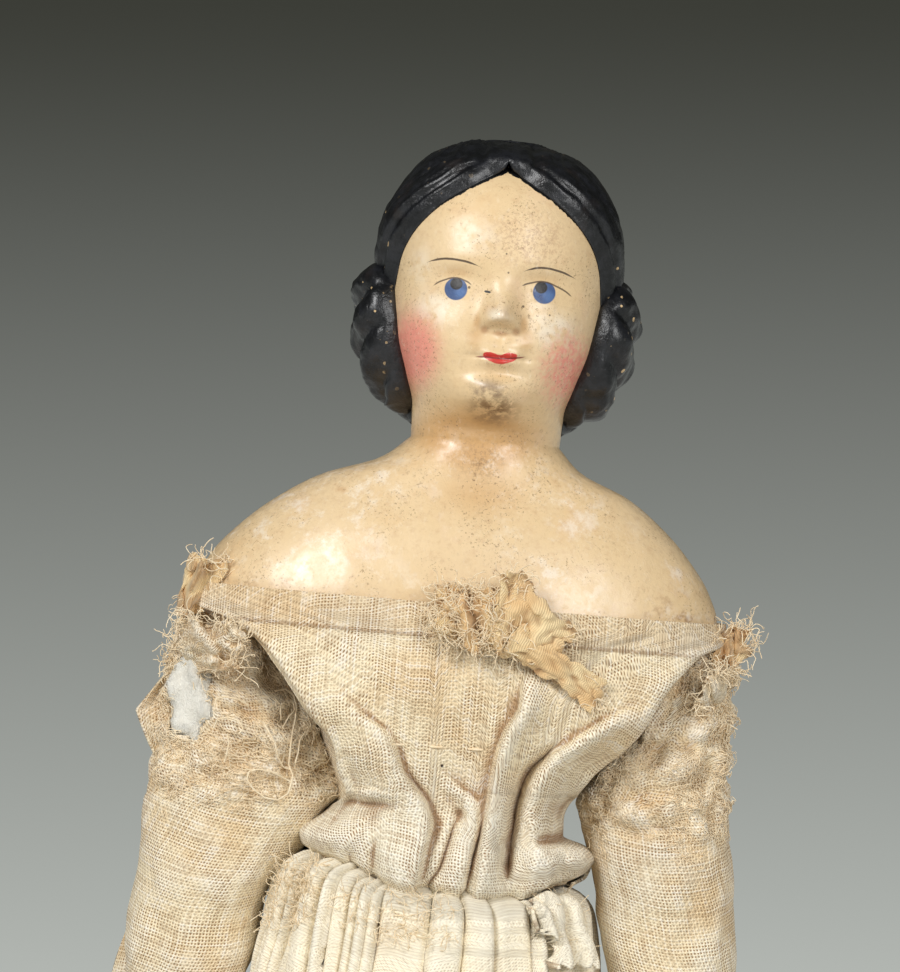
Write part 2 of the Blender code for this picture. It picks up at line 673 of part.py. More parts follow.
# Arms: half-width and half-depth by share of the length, as shares of the fullest section
ARM_STATIONS = (0.006, 0.036, 0.071, 0.121, 0.2, 0.343, 0.529, 0.714, 0.857, 0.943, 0.994)
ARM_SWELL = curve(
    (0, 0.07), (0.04, 0.34), (0.07, 0.52), (0.12, 0.74), (0.2, 0.9), (0.34, 1), (0.57, 0.98), (0.86, 0.82),
    (1, 0.72),
)
ARM_FULLNESS = curve(
    (0, 0.4), (0.07, 0.53), (0.2, 0.84), (0.34, 0.96), (0.57, 1), (0.86, 0.88), (0.94, 0.4), (1, 0.03)
)
FOREARM_STATIONS = (0, 0.02, 0.05, 0.09, 0.17, 0.27, 0.38, 0.5, 0.58, 0.65, 0.72, 0.82, 0.91, 0.97, 1)
FOREARM_WIDTH = curve(
    (0, 0.96), (0.17, 0.96), (0.35, 0.85), (0.5, 0.66), (0.58, 0.54), (0.7, 0.43), (0.9, 0.32), (1, 0.12)
)
FOREARM_DEPTH = curve(
    (0, 0.04), (0.08, 0.66), (0.17, 1), (0.35, 0.95), (0.5, 0.73), (0.58, 0.66), (0.72, 1), (0.9, 0.82),
    (1, 0.4),
)


def arm_frame(side):
    """Start, length, direction and sideways direction of an upper arm."""
    start = PIVOTS[f"shoulder_{side}"][0]
    reach = PIVOTS[f"elbow_{side}"][0] - start
    along = reach.normalized()
    return start, reach.length, along, Vector((-along.z, 0, along.x))


def limb_ring(middle, across, half_width, half_depth, count=RING):
    """Oval section of a limb."""
    wide = across * half_width
    deep = Vector((0, half_depth, 0))
    return [middle + wide * math.cos(angle) + deep * math.sin(angle) for angle in turn(count)]


def arm_ring(side, share, extra=0.0):
    start, length, along, across = arm_frame(side)
    width = ARM_WIDTH / 2 * ARM_SWELL(share) + extra
    depth = ARM_DEPTH / 2 * ARM_FULLNESS(share) + extra
    return limb_ring(start + along * length * share, across, width, depth)


def shoulder_gather(side):
    """Drawn-together neck of the arm's linen, sewn to the torso under the plate."""
    pivot = PIVOTS[f"shoulder_{side}"][0]
    sewn = torso_section(SHOULDER_LEVEL)[0] + GAP
    rings = []
    for share, tall, deep in ((0, 1, 1), (0.3, 0.72, 1), (0.6, 0.4, 1.05), (0.85, 0.15, 1.1), (1, 0.06, 1.1)):
        x = mix(sewn, abs(pivot.x) - GAP, share)
        middle = Vector((math.copysign(x, pivot.x), 0, pivot.z))
        rings.append(limb_ring(middle, Vector((0, 0, 1)), GATHER_RADIUS * tall, GATHER_RADIUS * deep, 12))
    piece(f"shoulder_gather_{side}", loft(rings), SLEEVE_COLOUR, f"shoulder_{side}")


def upper_arm(side):
    """Stuffed upper arm, and the linen tube drawn over it."""
    rings = [arm_ring(side, share) for share in ARM_STATIONS]
    piece(f"upper_arm_{side}", loft(rings), STUFFING, f"shoulder_{side}")
    length = arm_frame(side)[1]
    start = SLEEVE_START / length
    end = 1 - SLEEVE_END / length
    places = [start, *(share for share in ARM_STATIONS if start < share < end), end]
    outer = [arm_ring(side, share, SLEEVE_EASE + SLEEVE_WALL) for share in places]
    inner = [arm_ring(side, share, SLEEVE_EASE) for share in places]
    piece(f"sleeve_{side}", shell(outer, inner, wrap=True), SLEEVE_COLOUR, f"shoulder_{side}")


def lower_arm(side):
    """Kid forearm and mitten hand, sewn flat at the elbow."""
    _, _, along, across = arm_frame(side)
    pivot = PIVOTS[f"elbow_{side}"][0]

    rings = []
    for share in FOREARM_STATIONS:
        width = ELBOW_WIDTH / 2 * FOREARM_WIDTH(share)
        depth = HAND_DEPTH / 2 * FOREARM_DEPTH(share)
        rings.append(limb_ring(pivot + along * (GAP + FOREARM * share), across, width, depth))
    arm = piece(f"lower_arm_{side}", loft(rings), KID, f"elbow_{side}")
    root = pivot + along * FOREARM * 0.63 + Vector((0, -HAND_DEPTH * 0.3, 0))
    reach = (along * 0.75 + Vector((0, -0.66, 0))).normalized()
    rings = []
    for share, size in ((0, 1), (0.4, 1.05), (0.75, 0.95), (0.93, 0.7), (1, 0.35)):
        middle = root + reach * THUMB_LENGTH * share
        sideways = reach.cross(across).normalized()
        radius = THUMB_RADIUS * size
        rings.append([middle + radius * (across * math.cos(a) + sideways * math.sin(a)) for a in turn(8)])
    thumb = piece(f"thumb_{side}", loft(rings), KID, f"elbow_{side}")
    boolean(arm, thumb, "UNION")


# Legs: half-width and half-depth by share of the length
LEG_SWELL = curve((0, 0.95), (0.1, 1), (0.3, 0.96), (0.55, 0.8), (0.7, 0.8), (0.9, 0.62), (1, 0.58))
LEG_FULLNESS = curve(
    (0, 0.04), (0.06, 0.58), (0.14, 0.84), (0.3, 0.9), (0.55, 0.78), (0.7, 0.8), (0.9, 0.6), (1, 0.58)
)


def leg(side):
    """Stuffed linen leg, sewn flat at the hip."""
    hip = PIVOTS[f"hip_{side}"][0]
    rings = []
    for share in (0, 0.03, 0.07, 0.13, 0.22, 0.34, 0.46, 0.58, 0.7, 0.82, 0.92, 1):
        middle = hip - Vector((0, 0, GAP + share * (LEG_LENGTH - GAP)))
        width = LEG_WIDTH / 2 * LEG_SWELL(share)
        depth = LEG_WIDTH / 2 * LEG_FULLNESS(share)
        rings.append(limb_ring(middle, Vector((1, 0, 0)), width, depth, 14))
    piece(f"leg_{side}", loft(rings), LINEN_COLOUR, f"hip_{side}")


def boot(side):
    """Ankle boot and its flat sole."""
    ankle = LEG_WIDTH / 2 * 0.58
    heel = ankle + BOOT_HEEL
    toe = BOOT_LENGTH - heel
    middle_x = PIVOTS[f"hip_{side}"][0].x

    def ring(share, toe_reach, heel_reach, width, edge=0.0):
        z = BOOT_TOP - GAP - share * BOOT_HEIGHT
        points = []
        for angle in turn(18):
            reach = toe_reach if math.cos(angle) >= 0 else heel_reach
            x = middle_x + (width + edge) * rounded(math.sin(angle), 2.4)
            points.append(Vector((x, -(reach + edge) * rounded(math.cos(angle), 2.4), z)))
        return points

    wide = BOOT_WIDTH / 2
    upper = [
        ring(0, ankle + BOOT_CUFF, ankle + BOOT_CUFF, ankle + BOOT_CUFF / 2),
        ring(0.3, ankle + BOOT_CUFF * 2.25, ankle + BOOT_CUFF * 1.5, ankle + BOOT_CUFF * 0.75),
        ring(0.5, toe * 0.5, heel, wide * 0.9),
        ring(0.68, toe * 0.8, heel, wide),
        ring(0.86, toe * 0.97, heel, wide),
        ring(1, toe, heel - SOLE_EDGE, wide * 0.97),
    ]
    piece(f"boot_{side}", loft(upper), BOOT_COLOUR, f"hip_{side}")
    top = 1 + GAP / BOOT_HEIGHT
    bottom = top + SOLE_THICKNESS / BOOT_HEIGHT
    sole = [ring(share, toe, heel, wide, SOLE_EDGE) for share in (top, bottom)]
    piece(f"boot_sole_{side}", loft(sole), BOOT_COLOUR, f"hip_{side}")


def main():
    make_pivots()
    halves = head_shells()
    hair_cap()
    stitches(halves)
    torso()
    bodice("bodice_front", 0)
    bodice("bodice_back", math.pi)
    scraps()
    skirt()
    skirt_flap()
    for side in SIDES:
        hair_coil(side)
        shoulder_gather(side)
        upper_arm(side)
        lower_arm(side)
        leg(side)
        boot(side)


main()
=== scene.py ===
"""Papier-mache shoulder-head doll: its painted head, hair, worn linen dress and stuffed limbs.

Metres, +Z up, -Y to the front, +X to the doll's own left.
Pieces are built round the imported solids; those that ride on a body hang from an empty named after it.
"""

import json
import math

import bpy
import numpy as np
from bpy.props import FloatProperty, FloatVectorProperty, IntProperty, PointerProperty
from mathutils import Matrix, Vector


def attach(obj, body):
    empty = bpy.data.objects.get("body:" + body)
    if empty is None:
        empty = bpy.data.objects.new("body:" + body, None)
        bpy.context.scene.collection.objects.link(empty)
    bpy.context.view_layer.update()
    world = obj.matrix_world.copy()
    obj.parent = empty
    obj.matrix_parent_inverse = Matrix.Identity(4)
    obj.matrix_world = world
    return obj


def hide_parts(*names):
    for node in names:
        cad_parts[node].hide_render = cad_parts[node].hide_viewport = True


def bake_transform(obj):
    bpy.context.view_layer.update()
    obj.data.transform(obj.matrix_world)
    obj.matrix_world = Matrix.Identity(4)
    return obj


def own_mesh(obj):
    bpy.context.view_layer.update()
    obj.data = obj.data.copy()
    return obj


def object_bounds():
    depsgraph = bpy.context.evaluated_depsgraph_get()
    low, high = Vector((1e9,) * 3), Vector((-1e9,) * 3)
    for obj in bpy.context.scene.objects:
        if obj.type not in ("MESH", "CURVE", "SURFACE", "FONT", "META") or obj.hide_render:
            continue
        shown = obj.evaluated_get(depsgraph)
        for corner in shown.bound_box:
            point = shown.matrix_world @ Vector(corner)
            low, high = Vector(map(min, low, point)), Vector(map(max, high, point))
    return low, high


bl_info = {
    "name": "Papier-mache doll",
    "version": (1, 0, 0),
    "blender": (4, 5, 0),
    "location": "3D View > Sidebar > Doll",
    "description": "Dresses the frame of a papier-mache doll, piece by piece",
    "category": "Object",
}

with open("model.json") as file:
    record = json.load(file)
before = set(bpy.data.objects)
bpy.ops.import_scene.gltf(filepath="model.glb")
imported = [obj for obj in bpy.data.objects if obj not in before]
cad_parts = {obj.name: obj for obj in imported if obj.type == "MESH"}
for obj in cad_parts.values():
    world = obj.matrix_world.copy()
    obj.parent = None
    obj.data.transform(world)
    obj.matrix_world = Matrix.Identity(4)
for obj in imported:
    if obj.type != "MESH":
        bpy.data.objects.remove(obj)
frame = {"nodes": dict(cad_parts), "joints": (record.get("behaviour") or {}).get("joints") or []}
CAD_BOX = [list(corner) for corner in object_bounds()]
JOINTS = {joint["name"]: joint for joint in frame["joints"]}
SIDES = {"left": 1, "right": -1}
MM = 0.001

# Places that the frame gives
FLOOR = CAD_BOX[0][2]
SHOULDER_X, _, SHOULDER_LEVEL = JOINTS["shoulder_swing_left"]["pos_m"]
ELBOW_X, _, ELBOW_LEVEL = JOINTS["elbow_left"]["pos_m"]
HIP_X, _, HIP_LEVEL = JOINTS["hip_left"]["pos_m"]

# Head and shoulder plate, as the frame has them
NECK_LEVEL = 0.079
FACE_HEIGHT = 0.031
CRANIUM_HEIGHT = 0.021
HEAD_WIDTH = 0.0396
FACE_DEPTH = 0.0204
SKULL_DEPTH = 0.024
NECK_WIDTH = 0.0268
NECK_FRONT = 0.0118
NECK_BACK = 0.0136
HEAD_SHIFT = 0.0027
PLATE_DROP = 0.041
PLATE_WIDTH = 0.0944
PLATE_FRONT = 0.0224
PLATE_BACK = 0.0206
PLATE_SIDE_RISE = 0.008
SHELL_WALL = 0.0026
SECTION_POWER = 2.2
CRANIUM_POWER = 2.3
PLATE_RIM = NECK_LEVEL - PLATE_DROP
WIDEST_LEVEL = NECK_LEVEL + FACE_HEIGHT
CROWN = FACE_HEIGHT + CRANIUM_HEIGHT

# Dress, with a folded band at the neckline
NECKLINE = 0.05
BAND_SEAM = 0.0442
BAND_FOOT = 0.0445
BAND_FULL = 0.048
BODICE_EASE = 0.0015
LINEN = 0.0006
WAIST_WIDTH = 0.041
WAIST_FRONT = 0.0172
WAIST_BACK = 0.0168
SKIRT_LENGTH = 0.166

# Clearance at elbows, hips and boot tops
SEAM_GAP = 0.0003

# Radii of the threads
FRAY_RADIUS = 0.08 * MM
TRIM_FRAY_RADIUS = 0.085 * MM
SEAM_RADIUS = 0.12 * MM
OPEN_THREAD_RADIUS = 0.17 * MM
LACE_RADIUS = 0.22 * MM
BASTING_RADIUS = 0.24 * MM

# Picture that the camera takes, in pixels, and the point at its middle
PICTURE_SIZE = (900, 972)
PICTURE_MIDDLE = (-0.00293, 0, 0.07067)


def curve(*points):
    """A smooth function through (x, y) points that never overshoots them and is level beyond both ends."""
    xs, ys = (np.array(column, float) for column in zip(*sorted(points)))
    steps = np.diff(xs)
    slopes = np.diff(ys) / steps
    tangents = np.concatenate([slopes[:1], np.zeros(len(xs) - 2), slopes[-1:]])
    for i in range(1, len(xs) - 1):
        if slopes[i - 1] * slopes[i] > 0:
            before = 2 * steps[i] + steps[i - 1]
            after = steps[i] + 2 * steps[i - 1]
            tangents[i] = (before + after) / (before / slopes[i - 1] + after / slopes[i])

    def value(x):
        x = np.clip(x, xs[0], xs[-1])
        i = np.minimum(np.searchsorted(xs, x, side="right") - 1, len(steps) - 1)
        t = (x - xs[i]) / steps[i]
        rest = 1 - t
        ends = ys[i] * (1 + 2 * t) * rest * rest + ys[i + 1] * t * t * (3 - 2 * t)
        return ends + steps[i] * t * rest * (tangents[i] * rest - tangents[i + 1] * t)

    return value


def in_mm(*points):
    """A curve whose points are given in millimetres."""
    return curve(*((x * MM, y * MM) for x, y in points))


def mix(start, end, share):
    return start + (end - start) * share


def smooth(low, high, value):
    """0 below low, 1 above high, and a soft rise between them."""
    t = np.clip((value - low) / (high - low), 0, 1)
    return t * t * (3 - 2 * t)


def bell(value, middle, spread):
    return np.exp(-(((value - middle) / spread) ** 2) / 2)


def rounded(value, power=SECTION_POWER):
    """Sine or cosine bent so that it draws a slightly squared circle."""
    return np.sign(value) * np.abs(value) ** (2 / power)


def stack(x, y, z):
    return np.stack(np.broadcast_arrays(x, y, z), axis=-1)


def unevenness(points, size, seed):
    """Smooth random field between about -1 and 1, whose features are about a size across."""
    rng = np.random.default_rng(seed)
    waves = 14
    total = np.zeros(len(points))
    for _ in range(waves):
        way = rng.normal(size=3)
        pitch = size * rng.uniform(0.7, 1.6)
        total += np.sin(
            points @ (way / np.linalg.norm(way)) * 2 * math.pi / pitch + rng.uniform(0, 2 * math.pi)
        )
    return total / waves**0.5


def level_point(half_width, front, back, angle, z, shift=0.0):
    """Points of level sections: angle 0 faces the front, a quarter turn the doll's left."""
    depth = np.where(np.cos(angle) >= 0, front, back)
    return stack(shift + half_width * rounded(np.sin(angle)), -depth * rounded(np.cos(angle)), z)


# How the head's sections narrow from the widest level to the neck, and widen from there to the plate's rim
JAW = curve((0, 1), (0.2, 0.97), (0.42, 0.81), (0.65, 0.38), (0.82, 0.06), (1, 0))
FACE = curve((0, 1), (0.42, 0.99), (0.65, 0.88), (0.75, 0.74), (0.85, 0.36), (0.94, 0.06), (1, 0))
NAPE = curve((0, 1), (0.25, 0.97), (0.5, 0.75), (0.75, 0.3), (1, 0))
SHOULDER = curve(
    (0, 0), (0.1, 0.136), (0.195, 0.42), (0.305, 0.62), (0.415, 0.77), (0.585, 0.935), (0.707, 0.994),
    (1, 1),
)
BREAST = curve((0, 0), (0.17, 0.13), (0.46, 0.66), (0.8, 0.97), (1, 1))
# Edge of the hair: degrees from the front, by share of the height from neck to crown
HAIRLINE = curve(
    (0.058, 84), (0.21, 80), (0.346, 77), (0.5, 68), (0.615, 61), (0.79, 37), (0.88, 15), (0.905, 8),
    (0.928, 0), (1, 0),
)
# Moulded features: across, up from the neck, spread across, spread upwards, spread downwards, height (mm)
FACE_FEATURES = (
    (0.9, 25.2, 1.8, 2.6, 2.4, 1.2),
    (0.8, 21.9, 1.6, 2.0, 0.8, 3.2),
    (-1.6, 21.0, 1.0, 1.2, 0.7, 1.2),
    (3.2, 21.1, 1.0, 1.2, 0.7, 1.2),
    (-7.6, 27.2, 3.5, 2.3, 2.4, -1.4),
    (8.0, 27.7, 3.5, 2.3, 2.4, -1.4),
    (-7.6, 26.8, 2.2, 1.3, 1.7, 0.9),
    (8.0, 27.3, 2.2, 1.3, 1.7, 0.9),
    (-8.0, 31.4, 4.2, 1.6, 1.3, 0.45),
    (8.4, 31.2, 4.2, 1.6, 1.3, 0.45),
    (-10.5, 17.6, 4.2, 4.2, 4.2, 0.8),
    (11.2, 17.6, 4.2, 4.2, 4.2, 0.8),
    (1.2, 16.9, 3.8, 1.0, 1.6, 0.7),
    (1.2, 15.5, 2.6, 0.5, 0.45, 0.75),
    (1.2, 14.95, 3.6, 0.22, 0.22, -0.5),
    (1.25, 14.2, 2.3, 0.5, 0.7, 0.85),
    (1.2, 12.2, 3.6, 0.9, 0.9, -0.6),
    (0.6, 8.3, 4.4, 2.4, 2.6, 2.3),
    (-3.4, 14.8, 0.9, 1.0, 1.0, -0.45),
    (6.0, 15.5, 0.9, 1.0, 1.0, -0.45),
    (1.0, 18.0, 0.7, 0.9, 1.0, -0.3),
)


def head_section(z):
    """Half-width, front, back and sideways shift of the bare head, neck or plate at levels."""
    upper = np.clip((WIDEST_LEVEL - z) / FACE_HEIGHT, 0, 1)
    lower = np.clip((NECK_LEVEL - z) / PLATE_DROP, 0, 1)
    out = SHOULDER(lower)
    swell = BREAST(lower)
    above = z >= NECK_LEVEL
    width = np.where(above, mix(NECK_WIDTH, HEAD_WIDTH, JAW(upper)), mix(NECK_WIDTH, PLATE_WIDTH, out)) / 2
    front = np.where(above, mix(NECK_FRONT, FACE_DEPTH, FACE(upper)), mix(NECK_FRONT, PLATE_FRONT, swell))
    back = np.where(above, mix(NECK_BACK, SKULL_DEPTH, NAPE(upper)), mix(NECK_BACK, PLATE_BACK, swell))
    return width, front, back, np.where(above, HEAD_SHIFT, HEAD_SHIFT * (1 - out))


def head_points(level, angle):
    """Surface of head and plate: level 0 is the crown, 1 the widest level, 2 the neck and 3 the rim."""
    lean = np.clip(level, 0, 1) * math.pi / 2
    reach = rounded(np.sin(lean), CRANIUM_POWER)
    dome = WIDEST_LEVEL + CRANIUM_HEIGHT * rounded(np.cos(lean), CRANIUM_POWER)
    drop = PLATE_DROP - PLATE_SIDE_RISE * np.abs(np.sin(angle)) ** 3
    z = np.where(level <= 2, WIDEST_LEVEL - (level - 1) * FACE_HEIGHT, NECK_LEVEL - (level - 2) * drop)
    width, front, back, shift = head_section(z)
    z = np.where(level <= 1, dome, z)
    return level_point(width * reach, front * reach, back * reach, angle, z, shift)


def head_offset(level, angle, distance):
    """Points above (or, below zero, under) the surface of the head."""
    step = 0.008
    down = head_points(np.minimum(level + step, 3), angle) - head_points(np.maximum(level - step, 0), angle)
    across = head_points(level, angle + step) - head_points(level, angle - step)
    normal = np.cross(down, across)
    length = np.linalg.norm(normal, axis=-1, keepdims=True)
    normal = np.where(length > 1e-12, normal / np.maximum(length, 1e-12), np.array((0, 0, 1.0)))
    pole = smooth(2 * step, 0, level)[..., None]
    normal = normal * (1 - pole) + np.array((0, 0, 1.0)) * pole
    return head_points(level, angle) + normal * np.asarray(distance)[..., None]


def face_relief(x, up):
    """How far the moulded features stand out at places of the face, in metres."""
    total = 0
    for across, rise, wide, above, below, height in FACE_FEATURES:
        tall = np.where(up > rise * MM, above, below) * MM
        total = total + height * MM * bell(x, across * MM, wide * MM) * bell(up, rise * MM, tall)
    return total


def hair_level(z):
    return 1 + (WIDEST_LEVEL - z) / FACE_HEIGHT


# How the bodice widens and deepens from the waist to the plate's rim
BODICE_FLARE = curve(
    (0, 0.07), (0.1, 0.13), (0.21, 0.05), (0.32, 0), (0.4, 0.04), (0.53, 0.21), (0.64, 0.4), (0.8, 0.74),
    (1, 1),
)
BODICE_SWELL = curve((0, 0), (0.16, 0.06), (0.32, 0.2), (0.53, 0.485), (0.8, 0.85), (1, 1))


def bodice_section(z):
    """Half-width, front and back of the bodice's inner face at levels."""
    width, front, back, _ = head_section(np.clip(z, PLATE_RIM, NECKLINE))
    full = [float(size) + BODICE_EASE for size in head_section(np.array(PLATE_RIM))[:3]]
    share = np.clip(z / PLATE_RIM, 0, 1)
    low = (
        mix(WAIST_WIDTH / 2, full[0], BODICE_FLARE(share)),
        mix(WAIST_FRONT, full[1], BODICE_SWELL(share)),
        mix(WAIST_BACK, full[2], BODICE_SWELL(share)),
    )
    above = z >= PLATE_RIM
    return [np.where(above, size + BODICE_EASE, under) for size, under in zip((width, front, back), low)]


class Socket:
    """A shader value that Python's arithmetic works on."""

    def __init__(self, nodes, output):
        self.nodes = nodes
        self.output = output

    def maths(self, operation, *values):
        return self.nodes.node("ShaderNodeMath", {"operation": operation}, dict(enumerate(values)))

    def __add__(self, other):
        return self.maths("ADD", self, other)

    def __radd__(self, other):
        return self.maths("ADD", other, self)

    def __sub__(self, other):
        return self.maths("SUBTRACT", self, other)

    def __rsub__(self, other):
        return self.maths("SUBTRACT", other, self)

    def __mul__(self, other):
        return self.maths("MULTIPLY", self, other)

    def __rmul__(self, other):
        return self.maths("MULTIPLY", other, self)

    def __truediv__(self, other):
        return self.maths("DIVIDE", self, other)

    def __pow__(self, other):
        return self.maths("POWER", self, other)

    def __abs__(self):
        return self.maths("ABSOLUTE", self)

    def wave(self):
        return self.maths("COSINE", self)

    def above(self, low, high):
        """0 below low, 1 above high, and a soft rise between them."""
        settings = {"interpolation_type": "SMOOTHSTEP"}
        inputs = {"Value": self, "From Min": low, "From Max": high}
        return self.nodes.node("ShaderNodeMapRange", settings, inputs)

    def below(self, low, high):
        return 1 - self.above(low, high)


class Nodes:
    """A node tree, with short names for the nodes that the finishes use."""

    def __init__(self, tree):
        self.tree = tree

    def feed(self, socket, value):
        if isinstance(value, Socket):
            self.tree.links.new(value.output, socket)
        elif socket.type == "RGBA":
            socket.default_value = (*value[:3], 1)
        else:
            socket.default_value = value

    def node(self, kind, settings=None, inputs=None, output=0):
        """A new node: its settings are set first, then the values or links of its sockets."""
        made = self.tree.nodes.new(kind)
        for key, value in (settings or {}).items():
            if key == "points":
                line = made.mapping.curves[0].points
                for i, place in enumerate(value):
                    spot = line[i] if i < 2 else line.new(*place)
                    spot.location = place
                made.mapping.update()
            else:
                setattr(made, key, value)
        for key, value in (inputs or {}).items():
            self.feed(made.inputs[key], value)
        return Socket(self, made.outputs[output])

    def place(self):
        return self.node("ShaderNodeTexCoord", output="Object")

    def cloth(self):
        """Place on the flat cloth, in metres."""
        return self.node("ShaderNodeTexCoord", output="UV")

    def hollow(self):
        """How sunken the cloth is."""
        return self.node("ShaderNodeAttribute", {"attribute_name": "hollow"}, output="Fac")

    def split(self, vector):
        return [self.node("ShaderNodeSeparateXYZ", None, {0: vector}, i) for i in range(3)]

    def stretch(self, vector, scales):
        return self.node("ShaderNodeVectorMath", {"operation": "MULTIPLY"}, {0: vector, 1: scales})

    def noise(self, vector, scale, detail=3.0, roughness=0.55):
        inputs = {"Vector": vector, "Scale": scale, "Detail": detail, "Roughness": roughness}
        return self.node("ShaderNodeTexNoise", None, inputs)

    def cells(self, vector, scale, output="Distance", feature="F1"):
        inputs = {"Vector": vector, "Scale": scale}
        return self.node("ShaderNodeTexVoronoi", {"feature": feature}, inputs, output)

    def specks(self, vector, scale, size, share):
        """Scattered dots: one cell in a few has a dot of up to a size."""
        chance = self.split(self.cells(vector, scale, "Color"))[0]
        radius = chance.above(1 - share, 1) * (size * scale)
        return (radius - self.cells(vector, scale)).above(0, 0.04)

    def blend(self, share, one, other):
        """Mix of two colours: sockets 6 and 7 of the node take them, and its output 2 gives the mix."""
        return self.node("ShaderNodeMix", {"data_type": "RGBA"}, {0: share, 6: one, 7: other}, 2)

    def line(self, value, points):
        """A value read off a smooth line through given points."""
        xs, ys = zip(*points)
        low, tall = min(ys), max(max(ys) - min(ys), 1e-9)
        wide = xs[-1] - xs[0]
        spots = [points[0], points[-1], *points[1:-1]]
        places = [((x - xs[0]) / wide, (y - low) / tall) for x, y in spots]
        share = (value - xs[0]) / wide
        return self.node("ShaderNodeFloatCurve", {"points": places}, {"Value": share}) * tall + low

    def bump(self, height, distance, strength=1.0):
        return self.node(
            "ShaderNodeBump", None, {"Strength": strength, "Distance": distance, "Height": height},
        )


class Finish(Nodes):
    """The node tree of one material, whose ground is painted over step by step."""

    def __init__(self, name, ground):
        self.material = bpy.data.materials.new(name)
        self.material.use_nodes = True
        super().__init__(self.material.node_tree)
        self.ground = ground

    def cover(self, share, colour):
        """Paint a colour over the ground."""
        self.ground = self.blend(share, self.ground, colour)

    def done(self, **values):
        """Feed the ground and the other values to the shader, and give the material."""
        shader = self.tree.nodes["Principled BSDF"]
        for socket, value in {"Base_Color": self.ground, **values}.items():
            self.feed(shader.inputs[socket.replace("_", " ")], value)
        return self.material


def linear(*rgb):
    """Linear colour from the usual 0 to 255 screen values."""
    return tuple(mix(c / 255 / 12.92, ((c / 255 + 0.055) / 1.055) ** 2.4, float(c > 10)) for c in rgb)


class DollSizes(bpy.types.PropertyGroup):
    """Sizes that a maker would change."""

    weave: FloatProperty(
        name="Weave pitch", description="Distance between two threads of the linen", default=0.58 * MM,
        unit="LENGTH",
    )
    hair: FloatProperty(
        name="Hair thickness", description="How far the hair stands off the scalp", default=2.6 * MM,
        unit="LENGTH",
    )
    coil: FloatProperty(
        name="Coil height", description="How far a side coil stands out from the hair", default=5.6 * MM,
        unit="LENGTH",
    )
    pleats: IntProperty(name="Waist gathers", description="Gathers round the waist", default=56)
    hem_folds: IntProperty(name="Hem folds", description="Folds round the hem", default=15)
    frays: IntProperty(name="Loose threads", description="Loose threads on each sleeve", default=860)


def colour_property(name, description, rgb):
    return FloatVectorProperty(
        name=name, description=description, subtype="COLOR", size=3, default=linear(*rgb),
    )


class DollColours(bpy.types.PropertyGroup):
    """Colours that a maker would change."""

    flesh: colour_property("Flesh", "Varnished ground of face and shoulders", (229, 200, 154))
    blush: colour_property("Blush", "Painted cheeks", (242, 122, 120))
    lips: colour_property("Lips", "Painted lips", (206, 34, 26))
    iris: colour_property("Iris", "Painted eyes", (64, 88, 132))
    line: colour_property("Lines", "Brows, lids and pupils", (30, 26, 26))
    dirt: colour_property("Dirt", "Grime in the varnish", (128, 96, 62))
    hair: colour_property("Hair", "Black paint of the hair", (14, 15, 18))
    linen: colour_property("Linen", "Cloth of the dress", (252, 236, 200))
    sleeve: colour_property("Sleeve linen", "Cloth of the arms", (250, 234, 198))
    gap: colour_property("Weave gaps", "Shade between the threads", (150, 112, 70))
    stain: colour_property("Stains", "Age stains on the cloth", (232, 196, 142))
    scrap: colour_property("Trimming", "Remnants of silk trimming", (232, 194, 140))
    stuffing: colour_property("Stuffing", "Cotton filling", (255, 252, 240))
    kid: colour_property("Kid leather", "Forearms and hands", (206, 160, 112))
    boot: colour_property("Boot leather", "Ankle boots", (58, 42, 34))
    thread: colour_property("Thread", "Loose and sewing thread", (252, 236, 204))
    floor: colour_property("Floor", "Floor of the stage", (214, 214, 210))
    backdrop_top: colour_property("Backdrop above", "Backdrop at the top of the picture", (60, 61, 55))
    backdrop_foot: colour_property("Backdrop below", "Backdrop at the foot of the picture", (178, 182, 177))


class DollStage(bpy.types.PropertyGroup):
    """Camera and light."""

    lean: FloatProperty(
        name="Lean", description="Roll of the camera", default=math.radians(4.8), subtype="ANGLE",
    )
    width: FloatProperty(
        name="View width", description="Width that the picture spans", default=0.162, unit="LENGTH",
    )
    distance: FloatProperty(name="Distance", description="Camera to doll", default=1.0, unit="LENGTH")
    key: FloatProperty(name="Key light", description="Watts of the light at the upper left", default=9.0)
    fill: FloatProperty(name="Fill light", description="Watts of the light at the right", default=6.2)
    ambient: FloatProperty(name="Ambient", description="Strength of the even light", default=0.3)


def points_of(piece):
    flat = np.empty(len(piece.data.vertices) * 3, np.float32)
    piece.data.vertices.foreach_get("co", flat)
    return flat.reshape(-1, 3).astype(float)


def set_points(piece, points):
    piece.data.vertices.foreach_set("co", np.asarray(points, np.float32).ravel())
    piece.data.update()


def pick(piece):
    """Select one piece alone and make it active."""
    bpy.ops.object.select_all(action="DESELECT")
    piece.select_set(True)
    bpy.context.view_layer.objects.active = piece


def weld(piece, turn=True):
    """Merge the points that lie on each other, and point the faces outwards."""
    pick(piece)
    bpy.ops.object.mode_set(mode="EDIT")
    bpy.ops.mesh.select_all(action="SELECT")
    bpy.ops.mesh.remove_doubles(threshold=2e-6)
    if turn:
        bpy.ops.mesh.normals_make_consistent(inside=False)
    bpy.ops.object.mode_set(mode="OBJECT")
    bpy.ops.object.shade_smooth()


